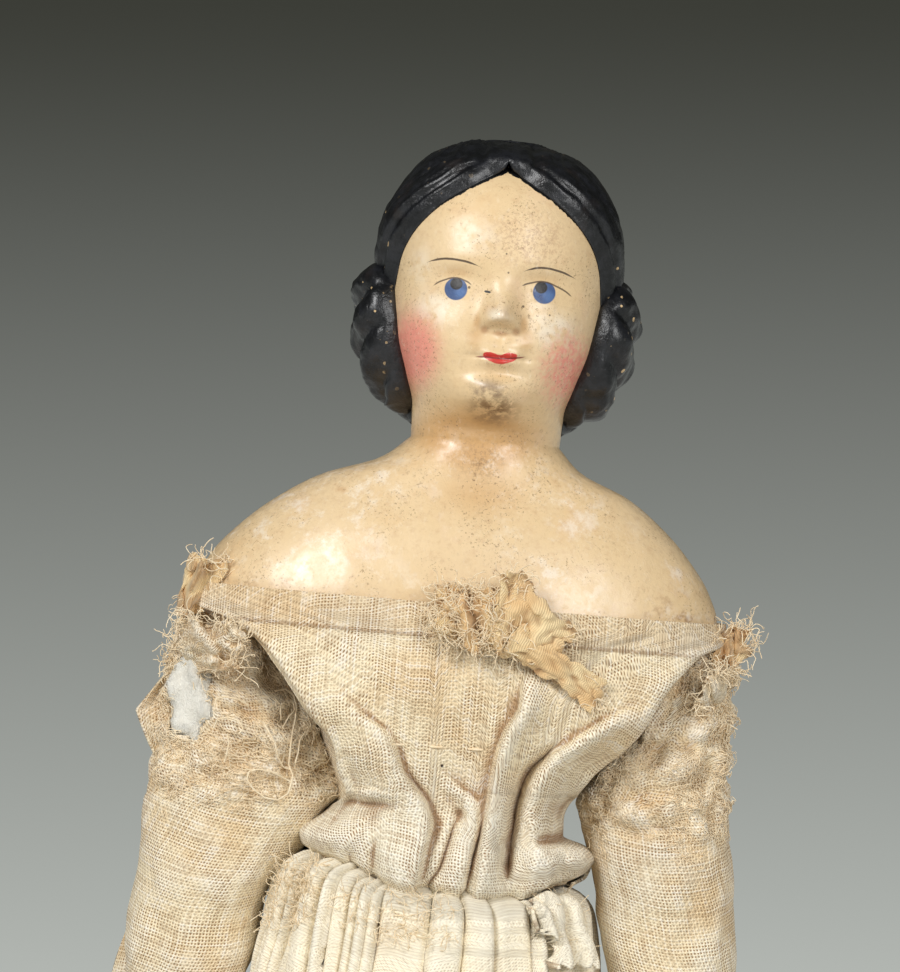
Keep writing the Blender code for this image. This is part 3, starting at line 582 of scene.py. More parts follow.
def sunken(net):
    """How far each point of a net lies below its surroundings, from -1 on ridges to 1 in creases."""
    normal = np.cross(np.gradient(net, axis=1), np.gradient(net, axis=0))
    normal /= np.maximum(np.linalg.norm(normal, axis=2, keepdims=True), 1e-15)
    total = 0
    for reach in (3, 9):
        wide = np.pad(net, ((reach, reach), (reach, reach), (0, 0)), mode="edge")
        inner = slice(reach, -reach)
        sides = (
            wide[2 * reach :, inner], wide[: -2 * reach, inner], wide[inner, 2 * reach :],
            wide[inner, : -2 * reach],
        )
        far = sum(np.linalg.norm(side - net, axis=2) for side in sides) / 4
        total = total + ((sum(sides) / 4 - net) * normal).sum(axis=2) / np.maximum(far, 0.0003) * 2.2
    outwards = np.sign((normal * (net - net.mean(axis=(0, 1)))).sum())
    return np.clip(total * outwards, -1, 1)


def shaped_grid(name, columns, rows, place, turn=True):
    """Grid bent into a piece: place takes u across and v up, both from 0 to 1.

    Its UV map is measured along the finished surface in metres.
    Its attribute hollow tells how sunken each point is.
    """
    bpy.ops.object.select_all(action="DESELECT")
    bpy.ops.mesh.primitive_grid_add(x_subdivisions=columns, y_subdivisions=rows, size=1)
    made = bpy.context.object
    made.name = made.data.name = name
    u, v = np.clip(points_of(made)[:, :2].T + 0.5, 0, 1)
    points = place(u, v)
    set_points(made, points)
    order = np.lexsort((u.round(6), v.round(6)))
    net = points[order].reshape(rows + 1, columns + 1, 3)
    across = np.cumsum(np.pad(np.linalg.norm(np.diff(net, axis=1), axis=2), ((0, 0), (1, 0))), axis=1)
    along = np.cumsum(np.pad(np.linalg.norm(np.diff(net, axis=0), axis=2), ((1, 0), (0, 0))), axis=0)
    across -= across[:, columns // 2 : columns // 2 + 1]
    flat = np.empty((len(order), 2))
    flat[order] = np.column_stack([across.ravel(), along.ravel()])
    corners = np.empty(len(made.data.loops), np.int32)
    made.data.loops.foreach_get("vertex_index", corners)
    made.data.uv_layers[0].data.foreach_set("uv", flat[corners].astype(np.float32).ravel())
    hollow = np.empty(len(order))
    hollow[order] = sunken(net).ravel()
    attribute = made.data.attributes.new("hollow", "FLOAT", "POINT")
    attribute.data.foreach_set("value", hollow.astype(np.float32))
    weld(made, turn)
    return made


def apply(piece, kind, **settings):
    """Add a modifier, set it and apply it."""
    pick(piece)
    added = piece.modifiers.new(kind.title(), kind)
    for key, value in settings.items():
        setattr(added, key, value)
    bpy.ops.object.modifier_apply(modifier=added.name)


def thicken(piece, thickness):
    """Give a sheet its thickness, half to each side."""
    apply(piece, "SOLIDIFY", thickness=thickness, offset=0)


def threads(name, paths, radius):
    """Thin threads along lists of points, as one mesh."""
    line = bpy.data.curves.new(name, "CURVE")
    line.dimensions = "3D"
    line.bevel_depth = radius
    line.bevel_resolution = 0
    line.use_fill_caps = True
    for path in paths:
        spline = line.splines.new("POLY")
        spline.points.add(len(path) - 1)
        spline.points.foreach_set(
            "co", np.column_stack([path, np.ones(len(path))]).astype(np.float32).ravel(),
        )
    made = bpy.data.objects.new(name, line)
    bpy.context.collection.objects.link(made)
    pick(made)
    bpy.ops.object.convert(target="MESH")
    made.data.name = name
    bpy.ops.object.shade_smooth()
    return made


def paint(piece, material):
    """Give a piece one finish."""
    piece.data.materials.clear()
    piece.data.materials.append(material)


def dress(piece, material, slot, body=None, *nodes):
    """Give a piece its finish and the body that it rides on, and hide the nodes that it replaces; slot is
    not used.
    """
    paint(piece, material)
    if body:
        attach(piece, body)
    if nodes:
        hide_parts(*nodes)
    return piece


def finish_once(make):
    """A finish is made once, and shared by the pieces that have it."""
    made = {}

    def get(*values):
        if values not in made:
            made[values] = make(*values)
        return made[values]

    return get


class FleshPaint(Finish):
    """Varnished flesh paint: places on the face are across it and up from the neck (mm)."""

    def __init__(self):
        self.colours = bpy.context.scene.doll_colours
        super().__init__("papier_mache", self.colours.flesh)
        self.where = self.place()
        self.x, self.y, self.z = self.split(self.where)
        self.across = (self.x - HEAD_SHIFT) * (1 / MM)
        self.up = (self.z - NECK_LEVEL) * (1 / MM)
        self.facing = self.y.below(-0.004, 0.004)
        self.cloud = self.noise(self.where, 60, 4)
        self.grain = self.noise(self.where, 420, 4, 0.65)
        self.fine = self.noise(self.where, 1500, 3, 0.7)

    def patches(self, low, high, scale, detail, roughness=0.55):
        """Ragged patches all over."""
        return self.noise(self.where, scale, detail, roughness).above(low, high)

    def spot(self, across, up, wide, tall, soft=1.0):
        """Soft oval mask on the face."""
        distance = (((self.across - across) / wide) ** 2 + ((self.up - up) / tall) ** 2) ** 0.5
        return distance.below(1 - soft, 1) * self.facing

    def stroke(self, points, width, fade=0.6):
        """Painted line through points, thinner towards its ends."""
        height = self.line(self.across, points)
        start, end = points[0][0], points[-1][0]
        inside = self.across.above(start - 0.1, start + fade) * self.across.below(end - fade, end + 0.1)
        off = abs(self.up - height + (self.grain - 0.5) * 0.12)
        return (inside * width - off).above(-0.03, 0.06) * self.facing

    def shade(self):
        """Clouds in the varnish, painted sheen, a freckled brow, and painted yellow shade round the
        features and in the nostrils.
        """
        spot = self.spot
        self.cover(self.cloud.above(0.35, 0.7) * 0.55, linear(234, 208, 166))
        self.cover(self.patches(0.52, 0.75, 130, 5, 0.7) * 0.4, linear(224, 186, 134))
        self.cover(self.patches(0.55, 0.8, 95, 3) * 0.35, linear(232, 190, 160))
        self.cover(self.patches(0.5, 0.7, 700, 4, 0.7) * 0.3, linear(206, 166, 122))
        # Pale patches of painted sheen on cheeks, brow, temple and nose: painted highlights where the
        # varnish shines
        painted_sheen = spot(-11, 22.5, 6, 5) + spot(10.6, 20.6, 6, 6) + spot(-5, 36, 8, 6) * 0.7
        painted_sheen = painted_sheen + spot(-14, 30, 4, 7) * 0.6 + spot(0, 24, 3, 5) * 0.4
        self.cover(painted_sheen.above(0, 1) * self.patches(0.3, 0.6, 480, 3) * 0.7, linear(250, 238, 216))
        freckled = spot(4.5, 36, 12, 9).above(0, 1) * self.patches(0.46, 0.6, 1600, 3, 0.7)
        self.cover(freckled * 0.5, linear(176, 138, 108))
        # Painted yellow shade beside the nose, under the lip, above the eyes, under the chin and down the
        # throat
        shade = spot(-3.4, 18.4, 2.6, 4.2) + spot(5.6, 18.6, 2.6, 4.2) + spot(1, 12, 6, 2.4) * 0.6
        shade = shade + spot(-7.6, 29.4, 5, 2) * 0.8 + spot(8, 29.4, 5, 2) * 0.6
        shade = shade + spot(-2, 0.5, 18, 8, 0.9) * 2 + spot(0, -9, 15, 9) * 0.9
        self.cover(shade.above(0, 1.6) * 0.75, linear(198, 148, 84))
        # Painted shade in and under the nostrils
        nostrils = spot(-1.9, 19.6, 1.3, 1.2) + spot(3.7, 19.7, 1.3, 1.2) + spot(0.9, 19.2, 2.6, 0.8)
        self.cover(nostrils.above(0, 1) * 0.6, linear(168, 112, 62))

    def cheeks(self):
        """Rosy cheeks: the doll's left one is worn."""
        worn = self.patches(0.4, 0.62, 1000, 4, 0.7)
        left = self.spot(13.6, 13.8, 8.6, 11.5) * (0.5 + worn * 0.5)
        right = self.spot(-14.6, 14.8, 9, 12) * (0.9 + worn * 0.2)
        self.cover((left + right).above(0.05, 0.9) * 0.68, self.colours.blush)
        flecks = (self.spot(-14.8, 15.8, 6, 8) + self.spot(13.3, 14.4, 6, 8)).above(0, 1)
        self.cover(flecks * self.patches(0.56, 0.66, 1300, 4, 0.7) * 0.5, linear(240, 210, 180))

    def eye(self, iris, pupil, lid):
        """Painted eye under the line of its upper lid."""
        across, up = iris
        under = (self.line(self.across, lid) - self.up).above(-0.1, 0.1)
        # Painted highlight: the iris is painted lighter blue at its lower right
        iris_highlight = self.spot(across + 0.9, up - 0.6, 1.6, 1.5, 0.8)
        tint = self.blend(iris_highlight * 0.5, self.colours.iris, linear(104, 138, 190))
        self.cover(self.spot(across, up - 2.2, 2.6, 1.0, 0.9) * 0.4, linear(240, 224, 196))
        self.cover(self.spot(across, up, 2.12, 2.1, 0.1) * under, tint)
        self.cover(self.spot(*pupil, 1.2, 1.15, 0.18) * under, self.colours.line)
        self.cover(self.stroke(lid, 0.17) * 0.85, linear(70, 52, 40))

    def eyes(self):
        """Both eyes with their lids and brows."""
        right_lid = ((-11.6, 26.7), (-9.4, 28.0), (-7.7, 28.4), (-6.1, 28.05), (-4.7, 27.25))
        left_lid = ((4.0, 27.9), (5.7, 28.6), (7.7, 29.0), (10.2, 28.4), (13.1, 26.8))
        self.eye((-7.5, 26.45), (-7.5, 27.35), right_lid)
        self.eye((8.1, 27.1), (7.5, 27.95), left_lid)
        for brow in (
            ((-13.4, 30.1), (-11.6, 31.3), (-9.2, 31.65), (-6.7, 31.45), (-4.6, 31.0), (-3.3, 30.4)),
            ((3.8, 29.9), (5.5, 31.0), (7.7, 31.4), (10.2, 31.15), (12.3, 30.55), (13.9, 29.8)),
        ):
            self.cover(self.stroke(brow, 0.2, 2.4) * 0.9, linear(62, 46, 38))

    def mouth(self):
        """Painted lips and the dark line between them."""
        bow = (
            (-1.9, 14.95), (-0.9, 15.8), (0.3, 15.6), (1.2, 15.45), (2.1, 15.75), (3.1, 15.95), (4.4, 15.3),
        )
        top = self.line(self.across, bow)
        foot = self.line(self.across, ((-1.9, 14.9), (-0.3, 14.15), (1.2, 13.8), (2.7, 14.1), (4.4, 15.2)))
        span = self.across.above(-1.9, -1.6) * self.across.below(4.1, 4.4) * self.facing
        unsteady = (self.grain - 0.5) * 0.3
        upper = (top - self.up + unsteady).above(-0.05, 0.1)
        lower = (self.up - foot + unsteady).above(-0.05, 0.1)
        red = self.blend(self.grain.above(0.4, 0.65) * 0.5, self.colours.lips, linear(226, 74, 54))
        self.cover(upper * lower * span, red)
        seam = ((-3.3, 14.75), (-1.5, 14.85), (1.2, 14.8), (4.2, 15.15), (5.9, 15.6))
        self.cover(self.stroke(seam, 0.16, 1.2) * 0.85, linear(126, 20, 18))

    def scuffs(self):
        """Small accidents of the brush, the scuffs on nose tip and chin, a painted highlight on the nose
        and painted shade beside it.
        """
        spot = self.spot
        tick = ((-2.5, 26.42), (-1.9, 26.36), (-1.3, 26.3))
        self.cover(self.stroke(tick, 0.22, 0.3), linear(60, 60, 60))
        for across, up, size in (
            (1.5, 30.0, 0.22), (0.9, 33.3, 0.2), (-5.2, 26.9, 0.3), (9.4, 23.2, 0.2), (4.6, 24.3, 0.28),
        ):
            self.cover(spot(across, up, size, size, 0.4) * 0.8, linear(72, 56, 44))
        chin = spot(0.3, 7, 7, 6, 0.5)
        scratches = self.noise(self.stretch(self.where, (1, 1, 0.5)), 1100, 4, 0.75).above(0.57, 0.66)
        scratches = scratches * self.patches(0.4, 0.58, 120, 2)
        self.cover(scratches * (1 - chin) * 0.16, linear(255, 246, 228))
        scuffed = self.grain.above(0.36, 0.58)
        self.cover(spot(0.9, 22.6, 3.4, 2.4, 0.9) * scuffed * 0.3, linear(206, 190, 176))
        # Painted highlight on the top of the nose
        self.cover(spot(-0.2, 22.4, 2, 1.6) * 0.7, linear(252, 240, 216))
        # Painted shade down both sides of the nose
        nose_side_shade = (spot(-3.3, 21, 1.2, 2.4) + spot(4.9, 21, 1.2, 2.4)).above(0, 1)
        self.cover(nose_side_shade * 0.5, linear(200, 150, 92))
        self.cover(spot(-0.4, 9, 5, 2.8, 0.8) * scuffed * 0.8, linear(146, 122, 98))
        self.cover(spot(0.9, 5.8, 6.4, 3.8, 0.9) * scuffed, self.colours.dirt)

    def stains(self):
        """Rubbed pale and stained places on neck and plate."""
        plate = self.z.below(NECK_LEVEL - 0.006, NECK_LEVEL + 0.004)
        rubbed = self.patches(0.5, 0.66, 190, 6, 0.78) * self.patches(0.38, 0.6, 45, 2)
        self.cover(rubbed * plate * 0.6, linear(250, 240, 222))
        stained = self.patches(0.58, 0.72, 165, 5, 0.72) * self.patches(0.46, 0.62, 38, 2)
        self.cover(stained * plate * 0.55, linear(190, 140, 90))

    def grime(self, freckles):
        """Sparse specks, freckles, a greyer throat and the plate's soiled edge at the shoulders."""
        dots = self.specks(self.where, 360, 0.00026, 0.14)
        peppered = self.patches(0.57, 0.65, 2100, 3, 0.75) * self.patches(0.44, 0.58, 110, 3)
        throat = self.spot(-0.5, -3.5, 8, 7) * self.fine.above(0.42, 0.62)
        brow = self.spot(5.5, 33, 9, 6) * freckles
        total = freckles * 0.5 + dots * 0.7 + peppered * 0.7 + throat * 0.55 + brow * 0.5
        dirty = total.above(0, 1)
        self.cover(dirty * 0.8, self.colours.dirt)
        rim = self.z.below(0.047, 0.06) * abs(self.x).above(0.022, 0.042)
        self.cover(rim * self.patches(0.52, 0.66, 240, 5, 0.7) * 0.75, linear(150, 104, 62))
        self.cover(rim * self.patches(0.56, 0.68, 330, 4, 0.6) * 0.6, linear(246, 236, 220))
        return dirty

    def hair_edge(self):
        """Black paint that runs a little past the hair's edge, with ragged strokes."""
        height = (self.z - NECK_LEVEL) * (1 / CROWN)
        stops = (0, 0.1, 0.21, 0.35, 0.5, 0.615, 0.7, 0.79, 0.88, 0.905, 0.93, 1)
        edge = self.line(height, [(stop, float(HAIRLINE(stop))) for stop in stops])
        side = abs(self.x - HEAD_SHIFT)
        angle = side.maths("ARCTAN2", side, self.y * -1) * (180 / math.pi)
        strokes = self.noise(self.stretch(self.where, (900, 900, 260)), 1, 3, 0.6)
        past = (angle - edge + (strokes - 0.42) * 7).above(-0.2, 0.6)
        self.cover(past * height.above(0.03, 0.05), self.colours.hair)


@finish_once
def papier_mache():
    """Varnished flesh paint with a painted face, scuffs, grime and the ragged edge of the hair's paint."""
    f = FleshPaint()
    f.shade()
    f.cheeks()
    f.eyes()
    f.mouth()
    f.scuffs()
    f.stains()
    freckles = f.patches(0.57, 0.64, 1250, 4, 0.8) * (0.25 + f.patches(0.45, 0.66, 75, 3) * 0.75)
    dirty = f.grime(freckles)
    f.hair_edge()
    wear = f.noise(f.where, 700, 5, 0.7)
    eyes = f.spot(-7.5, 26.6, 3.6, 3, 0.5) + f.spot(8, 27.2, 3.6, 3, 0.5)
    dull = f.spot(1, 37, 20, 13, 0.7) + f.spot(1, 7, 8, 5)
    gloss = (wear.above(0.3, 0.62) * 0.75 + 0.1) * (1 - dull.above(0, 1) * 0.75)
    crackle = f.cells(f.where, 300, feature="DISTANCE_TO_EDGE").below(0, 0.03)
    relief = f.cloud * 0.5 + f.grain * 0.22 + f.fine * 0.05 - crackle * 0.02 - freckles * 0.05 + wear * 0.06
    return f.done(
        Roughness=0.42 + (f.grain - 0.5) * 0.25 + dirty * 0.3,
        Coat_Weight=gloss * (1 - eyes.above(0, 1)),
        Coat_Roughness=0.27,
        IOR=1.5,
        Normal=f.bump(relief, 0.0009, 0.55),
    )


@finish_once
def hair_paint():
    """Thick black paint, brushed along the hair, chipped to the pale ground on the high spots."""
    f = Finish("hair_paint", bpy.context.scene.doll_colours.hair)
    place = f.place()
    brush = f.noise(f.stretch(place, (1, 1, 0.35)), 900, 3, 0.6)
    lumps = f.noise(place, 380, 4, 0.65)
    f.cover(lumps.above(0.4, 0.7) * 0.4, linear(38, 40, 48))
    f.cover(f.noise(place, 160, 3).above(0.55, 0.75) * 0.35, linear(52, 42, 38))
    x, _, _ = f.split(place)
    outer = abs(x - HEAD_SHIFT).above(0.016, 0.024)
    chips = f.specks(place, 800, 0.00048, 0.2) * (0.1 + outer * 0.9) * lumps.above(0.43, 0.54)
    scuff = f.noise(place, 1300, 4, 0.7).above(0.62, 0.72) * outer * lumps.above(0.48, 0.62)
    f.cover(scuff * 0.7, linear(120, 108, 92))
    f.cover(chips, linear(222, 190, 140))
    return f.done(
        Roughness=0.38 + (lumps - 0.5) * 0.3 + scuff * 0.3,
        Coat_Weight=lumps.above(0.35, 0.6) * 0.3,
        Coat_Roughness=0.2,
        IOR=1.5,
        Normal=f.bump(brush * 0.4 + lumps * 0.9 - chips * 0.2, 0.0008, 0.42),
    )


def weave(f, pitch):
    """Plain weave on the flat cloth: its relief, the dark lines between the threads, and their slubs."""
    flat = f.cloth()
    u, v, _ = f.split(flat)
    turn = math.pi / pitch
    across = u * turn + (f.noise(flat, 330, 2) - 0.5) * 1.6
    along = v * turn + (f.noise(f.stretch(flat, (1, -1, 1)), 350, 2) - 0.5) * 1.6
    over = across.wave() * along.wave()
    gap_across = (across * 2).wave() * 0.5 + 0.5
    gap_along = (along * 2).wave() * 0.5 + 0.5
    slubs = (
        f.noise(f.stretch(flat, (1 / pitch, 70, 1)), 1, 1)
        + f.noise(f.stretch(flat, (70, 1 / pitch, 1)), 1, 1)
    )
    lines = gap_across * 0.45 + gap_along * 0.45 + gap_across * gap_along * 0.7
    return over * 0.5 - gap_across * 0.4 - gap_along * 0.4, lines, slubs * 0.5


# Small hole in the middle of the bodice's front, shown only as a black dot of painted shade: across and
# level
PINHOLE_SHADE = (-0.0002, 0.0214)


@finish_once
def linen(kind):
    """Aged plain-weave linen: kind is dress, skirt, sleeve, leg or bag."""
    colours = bpy.context.scene.doll_colours
    f = Finish(f"linen_{kind}", colours.sleeve if kind == "sleeve" else colours.linen)
    place = f.place()
    x, y, z = f.split(place)
    relief, lines, slubs = weave(f, bpy.context.scene.doll_sizes.weave)
    age = 0.5 if kind == "skirt" else 1
    f.cover(f.noise(place, 55, 4).above(0.45, 0.72) * (0.6 * age), colours.stain)
    f.cover(f.noise(place, 40, 3).above(0.5, 0.7) * (0.4 * age), linear(214, 206, 188))
    f.cover(f.noise(place, 240, 4, 0.7).above(0.58, 0.75) * 0.35, linear(206, 164, 112))
    if kind in ("dress", "skirt"):
        f.cover(z.below(0.004, 0.03) * 0.75, linear(255, 247, 224))
    if kind == "dress":
        band = z.above(BAND_SEAM - 0.0004, BAND_SEAM + 0.0002) * z.below(NECKLINE + 0.005, NECKLINE + 0.01)
        f.cover(band * 0.3, linear(206, 168, 120))
        f.cover(abs(z - BAND_SEAM).below(0.0002, 0.0005) * 0.5, linear(150, 108, 66))
        # Painted shade: a black dot where the hole is; the cloth is not cut
        hole_x, hole_z = PINHOLE_SHADE
        off = ((x - hole_x) ** 2 + (z - hole_z) ** 2) ** 0.5
        f.cover(off.below(0.0002, 0.00035) * y.below(-0.01, -0.005), (0.01, 0.01, 0.01))
    if kind == "sleeve":
        rubbed = z.above(0.006, 0.018) * y.below(-0.006, 0.004)
        f.cover(rubbed * f.noise(place, 130, 4, 0.6).above(0.36, 0.6) * 0.5, linear(220, 184, 134))
    hollow = f.hollow()
    # Painted highlight on the ridges and painted shade in the creases; worn gives the crease shade's
    # strength for each kind of cloth
    worn = {"sleeve": 0.35, "skirt": 0.6}.get(kind, 0.85)
    f.cover(hollow.below(-0.8, -0.05) * 0.5, linear(255, 249, 230))
    f.cover(hollow.above(0.05, 0.9) * (0.6 + f.noise(place, 300, 3) * 0.5) * worn, linear(158, 112, 66))
    f.cover(slubs.below(0.36, 0.5) * (0.34 * age), colours.gap)
    f.cover(slubs.above(0.5, 0.64) * (0.4 * age), (1, 0.97, 0.9))
    open_weave = f.noise(place, 190, 4, 0.65).above(0.36, 0.64) * 0.7 + 0.3
    f.cover(lines.above(0.4, 1.5) * open_weave * (0.45 if kind == "skirt" else 1.1), colours.gap)
    return f.done(
        Roughness=0.86 + slubs * 0.1,
        Sheen_Weight=0.06,
        Sheen_Roughness=0.5,
        IOR=1.4,
        Normal=f.bump(relief * (0.5 * age) + slubs * 0.4 + f.noise(place, 300, 3) * 1.4, 0.0005, 0.7),
    )


@finish_once
def silk():
    """Fine ribbed trimming, faded and split."""
    f = Finish("scrap_cloth", bpy.context.scene.doll_colours.scrap)
    place = f.place()
    flat = f.cloth()
    u, _, _ = f.split(flat)
    rib_pitch = 0.00042
    ribs = (u * (2 * math.pi / rib_pitch) + f.noise(flat, 300, 2) * 8).wave() * 0.5 + 0.5
    tone = f.noise(place, 210, 4)
    f.cover(tone.above(0.3, 0.7), linear(246, 224, 176))
    f.cover(f.noise(place, 420, 3).above(0.5, 0.75) * 0.4, linear(190, 142, 92))
    f.cover(ribs.above(0.5, 1) * 0.3, linear(170, 126, 80))
    # Painted shade in the hollows of the crumpled silk
    f.cover(f.hollow() * 0.6, linear(150, 104, 62))
    return f.done(
        Roughness=0.72 + (tone - 0.5) * 0.2,
        Sheen_Weight=0.3,
        Sheen_Roughness=0.4,
        IOR=1.45,
        Normal=f.bump(ribs * 0.35 + tone, 0.0006, 0.5),
    )


@finish_once
def stuffing_cotton():
    """Matted cotton filling."""
    f = Finish("stuffing", bpy.context.scene.doll_colours.stuffing)
    fibres = f.noise(f.stretch(f.place(), (1.6, 1.6, 0.6)), 900, 5, 0.75)
    f.cover(fibres.above(0.35, 0.7) * 0.15, linear(232, 216, 186))
    return f.done(
        Roughness=0.92 + fibres * 0.08,
        Sheen_Weight=0.05,
        Sheen_Roughness=0.6,
        Normal=f.bump(fibres, 0.0012, 0.8),
    )


@finish_once
def loose_thread():
    """Twisted linen thread."""
    f = Finish("thread", bpy.context.scene.doll_colours.thread)
    tone = f.noise(f.place(), 700, 3)
    f.cover(tone.above(0.3, 0.7), linear(240, 216, 176))
    return f.done(Roughness=0.8 + tone * 0.15, Sheen_Weight=0.3, Sheen_Roughness=0.5)


@finish_once
def kid_leather():
    """Tan glove leather with fine creases, rubbed darker in patches."""
    f = Finish("kid_leather", bpy.context.scene.doll_colours.kid)
    place = f.place()
    grain = f.cells(place, 1500, feature="DISTANCE_TO_EDGE")
    tone = f.noise(place, 120, 4)
    f.cover(tone.above(0.35, 0.7) * 0.7, linear(176, 124, 78))
    f.cover(grain.below(0, 0.06) * 0.35, linear(128, 86, 52))
    creases = f.noise(f.stretch(place, (1, 1, 3)), 260, 4, 0.6)
    return f.done(
        Roughness=0.5 + tone * 0.25,
        IOR=1.45,
        Normal=f.bump(grain.above(0, 0.2) * 0.3 + creases, 0.0006, 0.5),
    )


@finish_once
def boot_leather():
    """Dark blacked leather, worn brown at the toe."""
    f = Finish("boot_leather", bpy.context.scene.doll_colours.boot)
    place = f.place()
    grain = f.cells(place, 1300, feature="DISTANCE_TO_EDGE")
    tone = f.noise(place, 150, 4)
    _, y, _ = f.split(place)
    rubbed = y.below(-0.028, -0.016) * tone.above(0.4, 0.62)
    f.cover(tone.above(0.4, 0.7) * 0.5, linear(84, 60, 46))
    f.cover(rubbed * 0.7, linear(134, 98, 66))
    creases = f.noise(f.stretch(place, (1, 3, 1)), 240, 4, 0.6)
    return f.done(
        Roughness=0.38 + rubbed * 0.3 + (tone - 0.5) * 0.3,
        IOR=1.5,
        Normal=f.bump(grain.above(0, 0.2) * 0.25 + creases, 0.0006, 0.5),
    )


class DOLL_OT_head(bpy.types.Operator):
    """Model the hollow papier-mache head and shoulder plate"""

    bl_idname = "doll.head"
    bl_label = "Head and shoulder plate"

    def execute(self, context):
        # Share of the grid's rows, level on the head, and 1 for the inside or 0 for the outside
        rows = ((0, 0, 1), (0.07, 3, 1), (0.075, 3, 0), (0.25, 2, 0), (0.72, 1, 0), (1, 0, 0))
        stops, levels, walls = zip(*rows)

        def place(u, v):
            s = 2 * u - 1
            angle = math.pi * (0.55 * s + 0.45 * s**3)
            inside = np.interp(v, stops, walls)
            points = head_offset(np.interp(v, stops, levels), angle, -SHELL_WALL * inside)
            relief = face_relief(points[:, 0] - HEAD_SHIFT, points[:, 2] - NECK_LEVEL)
            points[:, 1] -= relief * smooth(0.1, 0.45, np.cos(angle)) * (1 - inside)
            hand = unevenness(points, 0.02, 3) * 0.12 * MM + unevenness(points, 0.007, 4) * 0.05 * MM
            points[:, 1] += hand * (1 - inside) * np.sign(points[:, 1])
            return points

        head = shaped_grid("papier_mache_head", 260, 200, place)
        dress(head, papier_mache(), "papier_mache", "torso", "head_front_shell", "head_back_shell")
        return {"FINISHED"}


class DOLL_OT_hair(bpy.types.Operator):
    """Model the moulded hair, parted in the middle, and its coils over the ears"""

    bl_idname = "doll.hair"
    bl_label = "Hair and coils"

    def cap(self, thickness):
        lowest = float(hair_level(NECK_LEVEL + 0.0022))

        def place(u, v):
            level = lowest * (1 - v)
            side = head_points(level, np.full_like(level, math.pi / 2))
            start = np.radians(HAIRLINE((side[:, 2] - NECK_LEVEL) / CROWN))
            # u runs over the hair from edge to edge, and back under it
            under = u > 0.5
            s = np.where(under, 2 * (1 - u), 2 * u)
            angle = mix(start, 2 * math.pi - start, s)
            reach = side[:, 0] - HEAD_SHIFT
            edge = np.minimum(s, 1 - s) * (2 * math.pi - 2 * start) * np.maximum(reach, 0.004)
            # It has its full thickness a little way in from its edge and nape, and along the parting
            nape = (lowest - level) * FACE_HEIGHT
            body = smooth(0, 0.0055, edge) ** 0.7 * smooth(0, 0.0022, nape) ** 0.6
            parting = smooth(0.9, 0.935, (side[:, 2] - NECK_LEVEL) / CROWN)
            body = np.maximum(body, parting * (0.95 - 0.07 * bell(edge, 0, 0.0007)))
            points = head_points(level, angle)
            # Grooves along the edge, comb marks, a lock at the nape and lumps of the moulding
            front = smooth(0.02, 0.009, edge)
            groove = bell(edge, 0.0042, 0.0006) * 0.5 + bell(edge, 0.0105, 0.0007) * 0.3
            combed = np.cos(edge / 0.0009 * math.pi + 3 * unevenness(points, 0.012, 8)) * 0.035
            lock = bell(edge, 0.0022, 0.0014) * bell(side[:, 2], NECK_LEVEL + 0.0065, 0.004) * 0.8
            lump = unevenness(points, 0.011, 11) * 0.12 + unevenness(points, 0.0035, 12) * 0.05
            height = thickness * body * (
                1 + lump * 0.8 + lock + combed * (0.4 + front) - groove * 0.55 * front
            )
            return head_offset(level, angle, 0.05 * MM + np.where(under & (s > 1e-6), 0, height))

        cap = shaped_grid("moulded_hair", 340, 96, place)
        dress(cap, hair_paint(), "hair_paint", "torso", "hair_cap")

    def coil(self, side, thickness, height):
        way = SIDES[side]
        middle, tall = NECK_LEVEL + 0.0175, 0.0272
        facing, spread = math.radians(92), math.radians(27)
        lobe_pitch = 0.0078
        base = 0.3

        def place(u, v):
            turn = 2 * math.pi * u
            outside = v > base
            arch = (1 - v) / (1 - base) * math.pi / 2
            reach = np.where(outside, np.sin(arch), v / base)
            crest = np.where(outside, np.cos(arch), 0)
            z = middle + tall / 2 * reach * np.sin(turn) * (1 - 0.06 * np.cos(turn))
            around = facing + spread * reach * np.cos(turn) * (1 + 0.15 * np.sin(turn))
            twist = (z - middle) + 0.006 * reach * np.cos(turn)
            lobe = np.abs(np.cos(math.pi * (twist / lobe_pitch + way * 0.12)))
            points = head_points(hair_level(z), way * around)
            lump = unevenness(points, 0.006, 20 + way) * 0.06 + unevenness(points, 0.0021, 22 + way) * 0.02
            out = crest**0.55 * (height + 0.6 * thickness) * (0.7 + 0.32 * lobe**0.8 + lump)
            return head_offset(hair_level(z), way * around, np.where(outside, out - 0.1 * MM, -0.3 * MM))

        coil = shaped_grid(f"side_coil_{side}", 112, 64, place)
        dress(coil, hair_paint(), "hair_paint", "torso", f"hair_coil_{side}")

    def execute(self, context):
        sizes = context.scene.doll_sizes
        self.cap(sizes.hair)
        for side in SIDES:
            self.coil(side, sizes.hair, sizes.coil)
        return {"FINISHED"}


# Outlines of the bodice by level, to the doll's right and left (mm)
BODICE_EDGES = {
    -1: in_mm(
        (0, 23.8), (3, 23.8), (4.5, 23.6), (8, 21.7), (11.4, 19), (14.5, 16.8), (18.9, 19),
        (24.3, 20.9), (29.1, 25.3), (35.6, 30.6), (41.3, 36), (45, 43), (50, 49),
    ),
    1: in_mm(
        (0, 26), (2.2, 26.8), (5, 27.2), (7.3, 25.7), (9.4, 21.8), (15.4, 22.6), (20.3, 25.3),
        (23.3, 28.3), (26.5, 32.2), (30.9, 35.6), (38.2, 39.5), (45, 45), (50, 49),
    ),
}
# Level of the seam between bodice and skirt at places across the front (mm)
WAIST_SEAM = in_mm(
    (-25, 3.2), (-23.2, 3.2), (-18.4, 2.2), (-13.7, 1.2), (-8.8, -0.8), (-4.1, -1.7),
    (2.9, -1.7), (8.5, -2.1), (13.1, -2), (17.7, -0.9), (22.2, 0.9), (26.8, 1.8),
)
# Factor by which the front laps over its own edges, onto the back
FRONT_OVERLAP = 1.015
